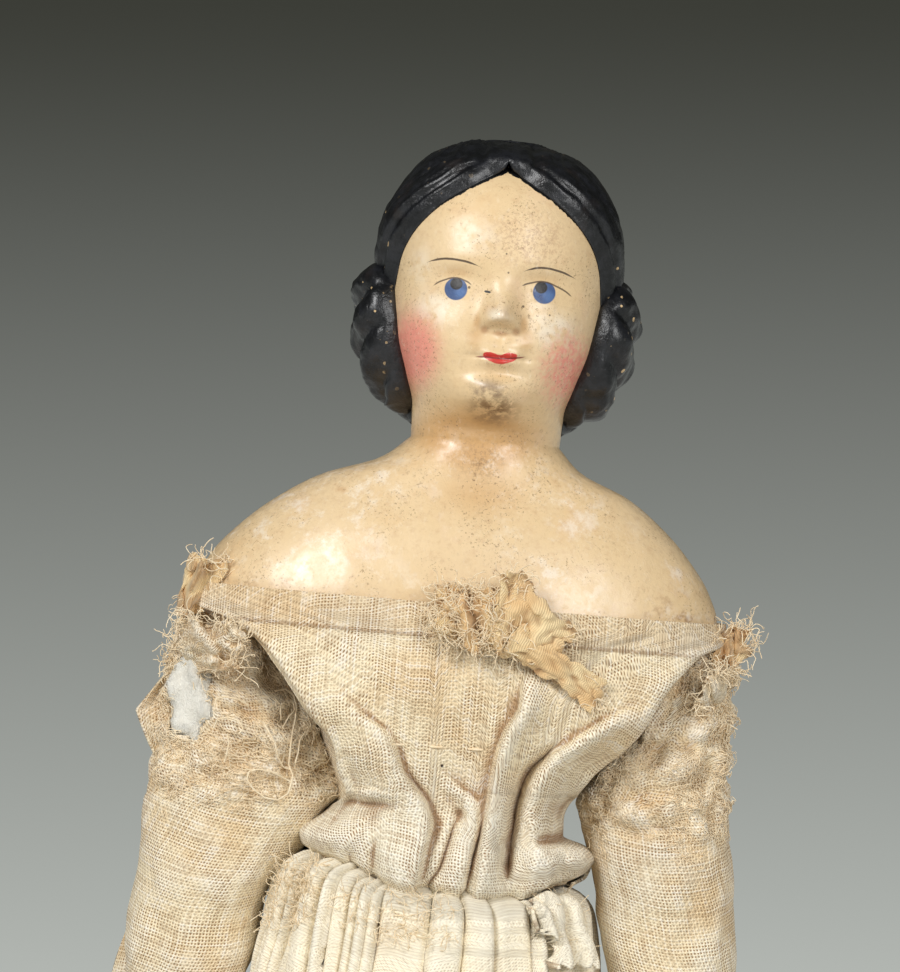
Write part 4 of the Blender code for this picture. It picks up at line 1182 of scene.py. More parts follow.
# Folds of the bodice's front (mm): (level, across) points, height, spread to each side, fading length
BODICE_RIDGES = (
    (
        (
            (36, -24), (33.1, -20.5), (29.4, -16.1), (26.4, -11.7), (21.8, -9), (17.3, -6.5), (14.1, -3.9),
            (10.8, -2.6), (-4, -4.8),
        ),
        3.0, 4.2, 1.1, 16,
    ),
    (
        (
            (27, -10), (25.2, -8.6), (19.9, -6.6), (16.8, -3.8), (13.5, -1.5), (10.9, -0.7), (6.7, -1.7),
            (-4, -3.4),
        ),
        -1.7, 0.5, 1.0, 10,
    ),
    (((23, -17.4), (16, -14.8), (11, -16.5), (7, -19)), -1.2, 0.8, 0.8, 6),
    (((21.1, -1.8), (17.4, 2.6), (15, 5.4), (10.2, 5.8), (6.1, 4.6), (-4, 4.2)), 1.9, 1.7, 0.8, 8),
    (((13, 3.6), (11.3, 2.8), (8.5, 2), (5, 1), (1.4, -0.8), (-4, -1.4)), -2.0, 0.4, 0.6, 5),
    (((12, 7.4), (10, 7.2), (6.1, 6.1), (2.7, 5.7), (-4, 5.5)), -1.9, 0.4, 0.4, 5),
    (((9, -9.7), (6.1, -10), (-3, -10.4)), -1.8, 0.9, 0.6, 5),
    (((6, -14.2), (-3, -14.6)), -1.2, 0.5, 0.7, 5),
    (
        (
            (40, 14.4), (38.4, 13.8), (33.3, 13.5), (28.3, 11.2), (23.4, 9.9), (17.2, 9.2), (12.4, 8.9),
            (7.5, 8.2), (-4, 8),
        ),
        3.0, 0.6, 2.0, 7,
    ),
    (
        ((27, 19), (25.1, 18), (21.2, 15.2), (15.6, 13.7), (10.8, 13.1), (6, 12.5), (3, 12.2)),
        -4.6, 1.1, 0.7, 5,
    ),
    (
        (
            (35, 33), (32.6, 30.3), (27.3, 23.6), (24.3, 19.9), (20, 17.7), (14.5, 16.8), (9.8, 17.2),
            (-2, 17.6),
        ),
        3.1, 1.3, 2.6, 6,
    ),
    (((9, 21.8), (0, 21.6)), -1.4, 0.7, 0.7, 5),
)
# Dents and puffs of the bodice's front: across, level, spread across, spread upwards, height (mm)
BODICE_SPOTS = (
    (-16.5, 20.5, 2.6, 4.5, 1.0),
    (-16.0, 9.6, 2.8, 3.0, 1.0),
    (-20.5, 5.2, 3.0, 2.6, 1.7),
    (-12.4, 15.4, 2.6, 0.6, 0.9),
    (-12.6, 13.6, 2.6, 0.6, -1.1),
    (3.7, 13.0, 0.8, 1.0, -2.0),
    (23.6, 5.2, 2.6, 2.4, 2.0),
    (21.4, 9.6, 2.4, 0.8, -1.6),
    (2.5, 22.0, 4.6, 7.0, -1.2),
    (17.0, 40.0, 7.0, 1.8, -0.9),
    (25.0, 33.0, 6.0, 2.2, 0.6),
    (-6.0, 34.0, 9.0, 3.0, 0.5),
)


def fold_height(x, z):
    """How far the folds of the bodice's front stand out at places, in metres."""
    total = 0
    for points, height, right, left, soft in BODICE_RIDGES:
        levels = [level * MM for level, _ in points]
        off = x - in_mm(*points)(z)
        fade = smooth(max(levels) + 0.001, max(levels) - soft * MM, z)
        fade = fade * (smooth(min(levels) - 0.001, min(levels) + 0.003, z) if min(levels) > 0 else 1)
        total = total + height * MM * bell(off, 0, np.where(off < 0, right, left) * MM) * fade
    for across, level, wide, tall, height in BODICE_SPOTS:
        total = total + height * MM * bell(x, across * MM, wide * MM) * bell(z, level * MM, tall * MM)
    return total


def in_band(z):
    """0 below the neckline's band and 1 in its upper half."""
    return smooth(BAND_FOOT, BAND_FULL, z)


def bodice_points(s, z, facing, lift=0.0):
    """The bodice's cloth: s runs from -1 to 1 between the panel's edges, and facing is -1 for the front."""
    width, front, back = bodice_section(z)
    edge = np.where(s < 0, BODICE_EDGES[-1](z), BODICE_EDGES[1](z))
    half = mix(width, edge, smooth(0.017, 0.011, z))
    cut = np.arcsin(np.minimum(edge / half, 1) ** (SECTION_POWER / 2))
    band = in_band(z)
    angle = s * mix(cut, math.pi / 2, band)
    hole = smooth(0.011, 0.016, z) * (1 - band)
    inset = (1 - np.abs(s)) * cut * 0.03
    x = half * rounded(np.sin(angle))
    # The band stands out at its seam and leans in towards the plate, and the armholes' edges turn in
    out = LINEN / 2 + 0.4 * MM * smooth(BAND_FOOT - 0.0008, BAND_FOOT, z) - 0.8 * MM * smooth(0.04, 0.05, z)
    out = out - 1.6 * MM * smooth(0.002, 0, inset) * hole
    out = out + 0.9 * MM * bell(inset, 0.0032, 0.0016) * hole * (x > 0)
    # Small gathers above the waist, and the crumple of worn cloth below the band
    gathers = np.cos(x / 0.0037 * 2 * math.pi + 2 * np.sin(x * 300)) * 0.3 * MM * smooth(0.009, 0, z)
    spot = stack(x, facing, z)
    crumple = unevenness(spot, 0.013, 30) * 0.3 * MM + unevenness(spot, 0.005, 31) * 0.09 * MM
    worn = smooth(0.046, 0.03, z)
    out = out + (crumple + gathers) * worn + lift
    folds = 0
    if facing < 0:
        folds = fold_height(x, z) * smooth(1, 0.88, np.abs(s))
    else:
        out = out + np.cos(x / 0.0061 * 2 * math.pi) * 0.7 * MM * smooth(0.028, 0, z)
    # Drawn in at the waist seam, with a roll above it
    out = out - 2.0 * MM * smooth(0.0022, 0, z) + 1.1 * MM * bell(z, 0.0048, 0.0026)
    depth = np.where(facing < 0, front, back)
    # The front is boxier than the plate
    box = np.maximum(0, 1 - np.abs(np.sin(angle)) ** 2.7) ** (1 / 2.9)
    boxy = smooth(0.001, 0.008, z) * smooth(0.044, 0.03, z) * (facing < 0)
    y = facing * (depth * mix(rounded(np.cos(angle)), box, boxy) + folds)
    drop = np.where(facing < 0, WAIST_SEAM(x), 0.0005) * smooth(0.013, 0, z)
    return stack(x + out * np.sin(angle), y + facing * out * np.cos(angle), z + drop)


def bodice_spot(x, z, lift):
    """Points on the bodice's front at given places."""
    width = bodice_section(z)[0]
    edge = np.where(x < 0, BODICE_EDGES[-1](z), BODICE_EDGES[1](z))
    cut = np.arcsin(np.minimum(edge / width, 1) ** (SECTION_POWER / 2))
    limit = mix(cut, math.pi / 2, in_band(z))
    s = np.sign(x) * np.arcsin(np.minimum(np.abs(x) / width, 1) ** (SECTION_POWER / 2)) / limit
    return bodice_points(np.clip(s, -1, 1), z, -1, lift)


class DOLL_OT_bodice(bpy.types.Operator):
    """Sew the bodice: front, back and the basting thread across the front"""

    bl_idname = "doll.bodice"
    bl_label = "Bodice"

    def execute(self, context):
        for name, facing, overlap, area in (("front", -1, FRONT_OVERLAP, 0.0052), ("back", 1, 1, 0.0044)):

            def place(u, v):
                return bodice_points((2 * u - 1) * overlap, v * NECKLINE, facing)

            panel = shaped_grid(f"bodice_{name}_cloth", 290, 150, place, turn=False)
            thicken(panel, LINEN)
            dress(panel, linen("dress"), "linen", "torso", f"bodice_{name}")
        paths = []
        for middle, reach in ((-8.4, 1.6), (-1.4, 1.5), (5.3, 1.6)):
            x = np.linspace(middle - reach, middle + reach, 7) * MM
            lift = np.array((-0.3, 0.35, 0.5, 0.55, 0.5, 0.35, -0.3)) * MM
            paths.append(bodice_spot(x, np.full(7, 0.0247) + x * 0.02, lift))
        dress(threads("basting", paths, BASTING_RADIUS), loose_thread(), "thread", "torso")
        for node in ("front_left", "front_right", "back_left", "back_right"):
            paint(frame["nodes"][f"plate_stitch_{node}"], loose_thread())
        return {"FINISHED"}


# Skirt by share from waist to hem: half-width, half-depth, depth of its folds and of its gathers
SKIRT_WIDTH = curve((0, 0.0235), (0.018, 0.0277), (0.05, 0.0295), (0.18, 0.033), (0.42, 0.0394), (1, 0.062))
SKIRT_DEPTH = curve((0, 0.0182), (0.018, 0.0209), (0.05, 0.022), (0.13, 0.0263), (1, 0.07))
SKIRT_FOLD = curve((0, 0), (0.05, 0.0009), (0.2, 0.0011), (1, 0.0036))
GATHER_DEPTH = curve((0, 0.0022), (0.03, 0.0042), (0.12, 0.0034), (0.35, 0.0009), (1, 0.0002))


def skirt_points(angle, share, pleats, folds, lift=0.0):
    """The skirt's cloth: share 0 is the waist and 1 the hem."""
    # Uneven gathers: their edges round the waist, how high they stand and how flat their crests are
    rng = np.random.default_rng(40)
    edges = np.cumsum(np.concatenate([[0], 0.45 + 2.3 * rng.uniform(0, 1, pleats) ** 2]))
    edges = edges / edges[-1]
    sizes = rng.uniform(0.4, 1.2, pleats)
    flatness = rng.choice((1.7, 2, 3.5, 5), pleats)
    sway = 0.25 * np.sin(5 * angle + 6 * share) + 0.2 * np.sin(11 * angle - 9 * share + 1)
    phase = np.mod(angle / (2 * math.pi) + sway * smooth(0, 0.2, share) / pleats, 1)
    number = np.clip(np.searchsorted(edges, phase, side="right") - 1, 0, pleats - 1)
    t = (phase - edges[number]) / (edges[number + 1] - edges[number])
    tube = np.sqrt(np.maximum(0, 1 - np.abs(2 * t - 1) ** flatness[number])) * sizes[number]
    # Broad folds that grow towards the hem
    wave = 0.5 + 0.5 * np.cos(folds * angle + 1.3 * np.sin(2 * angle) + 0.8 * np.sin(3 * angle + 1))
    z = -share * SKIRT_LENGTH
    spot = stack(np.sin(angle) * 0.03, np.cos(angle) * 0.03, z)
    crumple = unevenness(spot, 0.016, 41) * 0.35 * MM * smooth(0, 0.1, share)
    out = GATHER_DEPTH(share) * (tube - 0.75) - SKIRT_FOLD(share) * (1 - wave) + crumple + lift
    out = out - 1.5 * MM * smooth(0.008, 0, share)
    width, depth = SKIRT_WIDTH(share), SKIRT_DEPTH(share)
    points = level_point(width + out, depth + out, depth + out, angle, z)
    # The front hangs from the slanting waist seam, and each gather is tucked into it a little differently
    front = smooth(-0.3, 0.5, np.cos(angle))
    tuck = (rng.uniform(-0.8, 1.0, pleats)[number] - 1.2 * (1 - tube)) * MM
    points[:, 2] += (WAIST_SEAM(points[:, 0]) * front + 0.6 * MM + tuck) * smooth(0.09, 0, share)
    return points


def curls(rng, starts, ways, length, bend, count=6):
    """Loose threads: from each start, a path that wanders off in about the given way."""
    paths = []
    for start, way in zip(starts, ways):
        step = length * rng.uniform(0.5, 1.4) / count
        turn = rng.normal(size=3)
        path = [np.array(start, float)]
        way = np.array(way, float)
        for _ in range(count):
            turn = turn * 0.7 + rng.normal(size=3) * 0.7
            way = way + turn * bend
            way = way / np.linalg.norm(way)
            path.append(path[-1] + way * step)
        paths.append(np.array(path))
    return paths


class DOLL_OT_skirt(bpy.types.Operator):
    """Gather the skirt to the waist, with its torn tongue and the fluff beside it"""

    bl_idname = "doll.skirt"
    bl_label = "Skirt"

    def execute(self, context):
        sizes = context.scene.doll_sizes
        pleats, folds = sizes.pleats, sizes.hem_folds

        def place(u, v):
            return skirt_points(2 * math.pi * u, (1 - v) ** 1.5, pleats, folds)

        skirt = shaped_grid("skirt_cloth", pleats * 11, 66, place, turn=False)
        thicken(skirt, LINEN * 0.8)
        dress(skirt, linen("skirt"), "linen", "torso", "skirt")

        def tongue(u, v):
            share = 0.006 + (1 - v) * 0.068
            angle = np.radians(52 + (u - 0.5) * (30 - 6 * (1 - v)) + 3 * np.sin(7 * v))
            ragged = 0.35 * MM * np.sin(37 * u) * smooth(0.3, 0, v)
            lift = (1.4 + 1.6 * (1 - v)) * MM + 0.9 * MM * np.sin(9 * u + 3 * v) * (1 - v) + ragged
            points = skirt_points(angle, share, pleats, folds, lift)
            ease = unevenness(stack(u, v, 0) * 0.014, 0.006, 44) * 0.4 * MM
            points[:, 1] -= ease + 1.2 * MM
            points[:, 2] -= ragged
            return points

        flap = shaped_grid("skirt_tongue", 50, 44, tongue, turn=False)
        thicken(flap, LINEN)
        dress(flap, linen("skirt"), "linen", "torso", "skirt_flap")
        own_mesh(flap)
        # Fluff in three stretches of the waist: their ends in degrees, and how many threads each has
        stretches = ((-70, -42, 400), (-32, 8, 180), (40, 66, 120))
        rng = np.random.default_rng(45)
        angle = np.radians(np.concatenate([rng.uniform(*stretch) for stretch in stretches]))
        count = len(angle)
        starts = skirt_points(angle, rng.uniform(0.008, 0.062, count), pleats, folds, 0.4 * MM)
        fluff = threads(
            "waist_fluff", curls(rng, starts, rng.normal(size=(count, 3)), 0.0036, 0.6), FRAY_RADIUS,
        )
        dress(fluff, loose_thread(), "thread", "torso")
        return {"FINISHED"}


# Upper arms in their linen by level (mm): outer and inner edge to the doll's right and left, half-depth
ARM_OUTER = {
    -1: in_mm(
        (-30, 53), (-26, 54), (-10, 53.6), (0, 53.4), (10, 53), (20, 52),
        (28, 51.2), (36, 50.4), (42, 49), (46, 46.5),
    ),
    1: in_mm((-30, 56), (-26, 57), (-12, 55.5), (5, 53), (20, 51.6), (30, 51), (40, 50), (46, 47)),
}
ARM_INNER = {
    -1: in_mm(
        (-30, 36), (-26, 34), (-18, 31.6), (-4, 29.4), (0, 26.8), (4, 23.4),
        (9, 20.4), (14, 19.2), (22, 20.8), (30, 25.6), (38, 31.5), (46, 36),
    ),
    1: in_mm(
        (-30, 37.5), (-26, 36), (0, 29.4), (11, 26.2), (15, 24.9),
        (22, 26.4), (30, 32), (38, 35.5), (46, 37.5),
    ),
}
ARM_DEPTH = in_mm(
    (-30, 0.7), (-26, 5.6), (-20, 9), (-10, 10.6), (5, 11.8), (20, 12.2), (30, 11.4), (38, 9.5), (46, 6.5),
)
# Arms: highest level, and share of the length where they start to close
ARM_TOP = 0.046
ARM_CLOSE = 0.95


def arm_points(way, u, v, lift=0.0):
    """Linen of an upper arm: u runs round it from its outer side over the front, v from the elbow up."""
    z = mix(ELBOW_LEVEL + SEAM_GAP, ARM_TOP, np.minimum(v / ARM_CLOSE, 1))
    close = np.sqrt(np.maximum(0, 1 - smooth(ARM_CLOSE, 1, v) ** 2 * 0.985))
    outer, inner = ARM_OUTER[way](z), ARM_INNER[way](z)
    turn = 2 * math.pi * u
    spot = stack(np.cos(turn) * 0.012, np.sin(turn) * 0.012, z + way * 0.3)
    frayed = smooth(0.006, 0.016, z) * smooth(-0.3, 0.3, np.sin(turn))
    crumple = unevenness(spot, 0.014, 50) * 0.4 * MM + unevenness(spot, 0.0055, 51) * 0.14 * MM
    matted = unevenness(spot, 0.007, 52) * 0.8 * MM + unevenness(spot, 0.0026, 53) * 0.3 * MM
    out = crumple + frayed * matted + lift
    half = (outer - inner) / 2 + out
    x = (outer + inner) / 2 + half * rounded(np.cos(turn)) * close
    y = -np.maximum(ARM_DEPTH(z) + out, 0.2 * MM) * rounded(np.sin(turn)) * close
    return stack(way * x, y, z + 1.2 * MM * smooth(ARM_CLOSE, 1, v))


# Threads on the doll's right sleeve that lie open to view: across and level (mm)
SHOWN_THREADS = (
    (
        (-30.8, 31.7), (-29.2, 32.1), (-27.7, 31.1), (-27, 29.3), (-26.9, 27.4), (-27.2, 24.6),
        (-27.3, 21.7), (-27.4, 18.9), (-26.5, 17.1), (-26.6, 15.9), (-27, 13.8), (-28.7, 12.5),
        (-31.1, 12.8), (-33.3, 14.2), (-34.5, 15.8), (-34.3, 17.2), (-32.5, 17.8), (-30.1, 17.5),
        (-28.1, 16.5), (-26.8, 15.9),
    ),
    ((-29.4, 26.7), (-29.7, 29), (-29, 30), (-27.6, 29.9), (-27.2, 28.5), (-28.1, 27.3), (-29, 25.3)),
    ((-32.5, 26.2), (-31.1, 24.2), (-30, 22.4), (-29.4, 20.2), (-28.3, 18.4), (-27.1, 18)),
    ((-41.3, 28.1), (-41.2, 29.5), (-39.6, 30.1), (-37.2, 29.8), (-35.3, 28.8)),
    ((-41.2, 24.3), (-40.6, 26), (-38.8, 26.5), (-36.9, 26.1), (-35.9, 24.8), (-36.5, 23.8)),
    ((-38.6, 23.6), (-38.2, 21.8), (-38.5, 19.6), (-38.8, 18.4)),
    (
        (-39.2, 47.4), (-36.8, 47.4), (-35.1, 45.9), (-34.4, 44.1), (-34.8, 42.4), (-35.8, 41.2),
        (-35.9, 39.3), (-36.2, 37.4),
    ),
    ((-24, 25), (-25, 24.7), (-25.8, 23.4), (-25.9, 21.1), (-26.3, 19.1)),
)
# Tear of the doll's right sleeve: across, level, half-width and half-height (mm)
TEAR = (-46.0, 31.0, 3.6, 8.4)


def in_tear(points):
    """1 inside the tear of the doll's right sleeve, falling to 0 outside it."""
    across, level, wide, tall = (size * MM for size in TEAR)
    off = ((points[:, 0] - across) / wide) ** 2 + ((points[:, 2] - level) / tall) ** 2
    off = off + unevenness(points, 0.006, 65) * 0.35 * smooth(3, 1, off)
    return smooth(1.4, 0.8, off) * (points[:, 1] < 0)


def bend(piece, side):
    """Bake a piece's place into its mesh."""
    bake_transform(piece)


class DOLL_OT_arms(bpy.types.Operator):
    """Stuff the upper arms, draw the frayed linen over them and gather it at the shoulders"""

    bl_idname = "doll.arms"
    bl_label = "Upper arms"

    def filling(self, side, way):
        def place(u, v):
            points = arm_points(way, u, v * 0.98, -0.9 * MM)
            if way < 0:
                swell = in_tear(points) * (1.7 * MM + unevenness(points, 0.0035, 60) * 0.4 * MM)
                points[:, 1] -= swell
                points[:, 0] -= swell * 0.5
            return points

        core = shaped_grid(f"arm_filling_{side}", 84, 70, place)
        dress(core, stuffing_cotton(), "stuffing", None, f"upper_arm_{side}")
        bend(core, side)

    def sleeve(self, side, way):
        sleeve = shaped_grid(f"sleeve_cloth_{side}", 150, 130, lambda u, v: arm_points(way, u, v))
        if way < 0:
            spots = points_of(sleeve)
            torn = in_tear(spots) * (1 + unevenness(spots, 0.0045, 61) * 0.5) > 0.45
            bpy.ops.object.mode_set(mode="EDIT")
            bpy.ops.mesh.select_all(action="DESELECT")
            bpy.ops.object.mode_set(mode="OBJECT")
            sleeve.data.vertices.foreach_set("select", torn)
            bpy.ops.object.mode_set(mode="EDIT")
            bpy.ops.mesh.delete(type="VERT")
            bpy.ops.object.mode_set(mode="OBJECT")
        thicken(sleeve, LINEN * 0.8)
        dress(sleeve, linen("sleeve"), "sleeve_linen", None, f"sleeve_{side}")
        bend(sleeve, side)

    def frays(self, side, way, count):
        """Matted loose threads in tufts on the front of a sleeve."""
        rng = np.random.default_rng(70 + way)
        per_tuft = 20
        paths = []
        for _ in range(count // per_tuft):
            tuft = np.array(
                (rng.uniform(0.05, 0.43), rng.choice((rng.uniform(0.52, 0.7), rng.uniform(0.66, 0.95))))
            )
            lean = rng.uniform(0, 2 * math.pi)
            tall = rng.uniform(0.3, 1.5) * MM
            for _ in range(per_tuft):
                u, v = tuft + rng.normal(size=2) * (0.03, 0.022)
                t = np.linspace(0, 1, 10)
                heading = lean + rng.normal(0, 1) + rng.normal(0, 5.5) * t + np.sin(t * 11 + lean) * 1.2
                reach = rng.uniform(0.3, 0.9)
                across = np.clip(u + np.cumsum(np.cos(heading)) * 0.012 * reach, 0.005, 0.495)
                along = np.clip(v + np.cumsum(np.sin(heading)) * 0.010 * reach, 0.45, 0.9)
                arch = np.abs(np.sin(t * math.pi * rng.uniform(0.4, 1.4)))
                path = arm_points(way, across, along, 0.2 * MM + arch * rng.uniform(0.1, 1) * tall)
                if way > 0 or in_tear(path).max() < 0.2 or rng.random() < 0.35:
                    paths.append(path)
        frayed = threads(f"loose_threads_{side}", paths, FRAY_RADIUS)
        dress(frayed, loose_thread(), "thread")
        bend(frayed, side)

    def open_threads(self):
        """The long threads that lie loose on the doll's right sleeve."""
        paths = []
        for shown in SHOWN_THREADS:
            line = np.array(shown) * MM
            stops = np.linspace(0, len(line) - 1, 4 * len(line))
            x, z = (np.interp(stops, np.arange(len(line)), column) for column in line.T)
            v = np.minimum((z - ELBOW_LEVEL) / (ARM_TOP - ELBOW_LEVEL) * ARM_CLOSE, 0.96)
            outer, inner = ARM_OUTER[-1](z), ARM_INNER[-1](z)
            share = np.clip((-x - (outer + inner) / 2) / ((outer - inner) / 2), -0.9, 0.9)
            u = np.arccos(np.sign(share) * np.abs(share) ** (SECTION_POWER / 2)) / (2 * math.pi)
            y = arm_points(-1, u, v, 2.1 * MM)[:, 1]
            y[2:-2] = np.convolve(y, np.ones(5) / 5, "valid")
            paths.append(stack(x, y, z))
        shown = threads("open_threads", paths, OPEN_THREAD_RADIUS)
        dress(shown, loose_thread(), "thread")
        bend(shown, "right")

    def strip(self):
        """Torn strip of linen behind the doll's right sleeve."""
        foot, top = -0.027, -0.0065

        def place(u, v):
            z = mix(foot, top, v)
            x = -51.5 * MM - (1 - v) * 2.2 * MM - u * mix(3.4, 0.6, v**2) * MM
            return stack(x, 4 * MM + u * 2 * MM + 0.5 * MM * np.sin(9 * v + 4 * u), z)

        strip = shaped_grid("sleeve_strip", 14, 40, place, turn=False)
        thicken(strip, LINEN * 0.8)
        dress(strip, linen("sleeve"), "sleeve_linen", "arm_right")

    def flap(self):
        """Torn tongue of the doll's right sleeve, standing out at its outer edge."""
        foot, top = 0.0185, 0.038

        def place(u, v):
            z = mix(foot, top, v)
            root = -np.array(ARM_OUTER[-1](z)) + 2.2 * MM
            reach = 6.6 * MM * np.maximum(0, 1 - np.abs(v - 0.5) * 2) ** 0.8
            curl = unevenness(stack(u, v, 0) * 0.012, 0.007, 64) * 0.6 * MM
            return stack(root - u * reach, -3 * MM - u * 2.5 * MM * np.sin(3 * v) + curl, z - u * 2.2 * MM)

        flap = shaped_grid("sleeve_tongue", 26, 44, place, turn=False)
        thicken(flap, LINEN * 0.8)
        dress(flap, linen("sleeve"), "sleeve_linen")
        bend(flap, "right")

    def gather(self, side, way):
        def place(u, v):
            turn = 2 * math.pi * u
            x = mix(0.0265, SHOULDER_X + 0.002, v)
            size = np.sqrt(np.maximum(0, 1 - (2 * v - 1) ** 6)) * (3.6 * MM + 0.35 * MM * np.cos(9 * turn))
            z = SHOULDER_LEVEL + size * np.sin(turn) * mix(1, 0.4, v)
            return stack(way * x, size * np.cos(turn), z)

        gather = shaped_grid(f"arm_gather_{side}", 72, 24, place)
        dress(gather, linen("sleeve"), "sleeve_linen", f"shoulder_{side}", f"shoulder_gather_{side}")

    def execute(self, context):
        for side, way in SIDES.items():
            self.filling(side, way)
            self.sleeve(side, way)
            self.frays(side, way, context.scene.doll_sizes.frays)
            self.gather(side, way)
        self.open_threads()
        self.flap()
        self.strip()
        return {"FINISHED"}


class DOLL_OT_trimming(bpy.types.Operator):
    """Crumple the remnants of the bow and of the trimming on both shoulders"""

    bl_idname = "doll.trimming"
    bl_label = "Remnants of trimming"

    def ruffle(
        self, name, corners, lift, crumple, seed, flat, node=None, finish=None, frays=60, rim=0.36,
        arm=None, least=0.5,
    ):
        """A torn piece of cloth on the bodice, with frayed threads round its rim.

        Its corners are (across, level), lift is its distance off the bodice and least the least of it (mm).
        """
        low_right, low_left, top_right, top_left = (np.array(corner) * MM for corner in corners)
        pleats, height = crumple

        def place(u, v):
            share_u, share_v = u[:, None], v[:, None]
            x, z = mix(mix(low_right, low_left, share_u), mix(top_right, top_left, share_u), share_v).T
            spot = stack(u * flat[0], v * flat[1], seed)
            border = smooth(0.3, 0, np.minimum(np.minimum(u, 1 - u), np.minimum(v, 1 - v)))
            # Torn border
            torn_x = unevenness(spot, 0.002, seed) * 0.35 + unevenness(spot, 0.0055, seed + 1) * 0.8
            torn_z = unevenness(spot, 0.002, seed + 2) * 0.35 + unevenness(spot, 0.005, seed + 3) * 0.7
            x = x + torn_x * MM * border
            z = z + torn_z * MM * border
            # Bodice below the piece, and the piece's folds above it
            width, front, _ = bodice_section(np.clip(z, 0.02, NECKLINE))
            share = np.minimum(np.abs(x) / (width + 0.0018), 0.995)
            depth = front * (1 - share**SECTION_POWER) ** (1 / SECTION_POWER)
            wave = unevenness(spot, 0.0065, seed + 4) * 0.6 + unevenness(spot, 0.0028, seed + 5) * 0.3
            phase = 2 * math.pi * pleats * (u + 0.25 * v) + 1.5 * unevenness(spot, 0.009, seed + 6)
            wave = wave + 0.6 * np.sin(phase)
            over = smooth(NECKLINE - 0.004, NECKLINE + 0.005, z) * -1.2 * MM
            return stack(x, -depth - np.maximum(lift(u, v) + wave * height, least) * MM - over, z)

        piece = shaped_grid(name, 60, 52, place, turn=False)
        thicken(piece, 0.3 * MM)
        slot = "sleeve_linen" if finish else "scrap_cloth"
        dress(piece, finish or silk(), slot, None if arm else "torso", *([node] if node else []))
        rng = np.random.default_rng(seed)
        spots = points_of(piece)
        middle = spots.mean(axis=0)
        far = np.abs((spots - middle) / np.ptp(spots, axis=0))[:, [0, 2]].max(axis=1)
        spots = spots[far > rim]
        starts = spots[rng.choice(len(spots), frays)]
        outwards = (starts - middle) / np.linalg.norm(starts - middle, axis=1)[:, None]
        ways = outwards + rng.normal(size=(frays, 3)) * 0.6
        fray = threads(f"{name}_fray", curls(rng, starts, ways, 0.0042, 0.8, 9), TRIM_FRAY_RADIUS)
        dress(fray, loose_thread(), "thread", None if arm else "torso")
        for part in (piece, fray):
            if arm:
                bend(part, arm)
            elif name.startswith("shoulder"):
                f"shoulder_lift_{name.split('_')[-1]}"
                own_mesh(part)

    def execute(self, context):
        # Corners of the pieces: low right, low left, top right and top left
        tail = ((10, 42), (25.4, 33.6), (11, 47.5), (28, 38))
        body = ((5, 42), (16.8, 41.2), (7.6, 57.4), (21.4, 47.4))
        rosette = ((-3.6, 45), (8.6, 41.8), (-3.4, 52.4), (8, 53.6))
        head = ((-49.8, 33.2), (-37.4, 35.2), (-49, 43.2), (-37.4, 42.8))
        right = ((-50.4, 43.6), (-44.6, 45), (-48, 54.6), (-41.6, 53.6))
        left = ((46.6, 42.6), (51.4, 43), (47.2, 49), (53, 50.4))
        fuzz = ((45, 33.4), (49.5, 33), (45.6, 41.2), (50.5, 41.6))
        self.ruffle(
            "bow_tail", tail, lambda u, v: 2.6 + 1.6 * np.sin(math.pi * v) * (1 - u), (0.7, 0.7), 80,
            (0.0165, 0.01),
        )
        self.ruffle(
            "bow_body", body, lambda u, v: 4.2 - 1.6 * u + v, (1.6, 1.0), 110, (0.017, 0.014),
            "neckline_scrap",
        )
        self.ruffle(
            "bow_rosette", rosette, lambda u, v: 5 - 7 * (u - 0.5) ** 2 - 7 * (v - 0.5) ** 2,
            (2.4, 1.5), 88, (0.018, 0.014), frays=620, rim=0.12,
        )
        self.ruffle(
            "sleeve_head", head, lambda u, v: 2.4 + u, (2.2, 1.4), 130, (0.016, 0.015), None,
            linen("sleeve"), 200, arm="right",
        )
        self.ruffle(
            "shoulder_trim_right", right, lambda u, v: 2.6 - 5.4 * smooth(0.3, 1, u), (2.2, 1.2), 95,
            (0.0105, 0.01), "shoulder_scrap_right", frays=90, least=-1.7,
        )
        self.ruffle(
            "shoulder_trim_left", left, lambda u, v: 2.2 - 5.4 * smooth(0.75, 0, u), (2.6, 1.0), 97,
            (0.01, 0.01), "shoulder_scrap_left", frays=130, least=-2.3,
        )
        self.ruffle(
            "sleeve_head_left", fuzz, lambda u, v: 1.8, (1.6, 1.0), 140, (0.01, 0.01), None,
            linen("sleeve"), 170, arm="left",
        )
        return {"FINISHED"}


# Torso bag by level: half-width and half-depth (mm)
TORSO_WIDTH = in_mm(
    (-36, 26.2), (-28, 26.8), (-22, 27), (-12, 23.4), (0, 18),
    (14, 18.6), (26, 23), (38, 27), (50, 27.5), (66, 9),
)
TORSO_DEPTH = in_mm(
    (-36, 0.9), (-30, 8.6), (-22, 18.2), (-12, 17.4), (0, 16.2),
    (20, 17.4), (38, 17.6), (52, 14), (66, 7.5),
)
TORSO_TOP = 0.066
BAG_WALL = 1.4 * MM


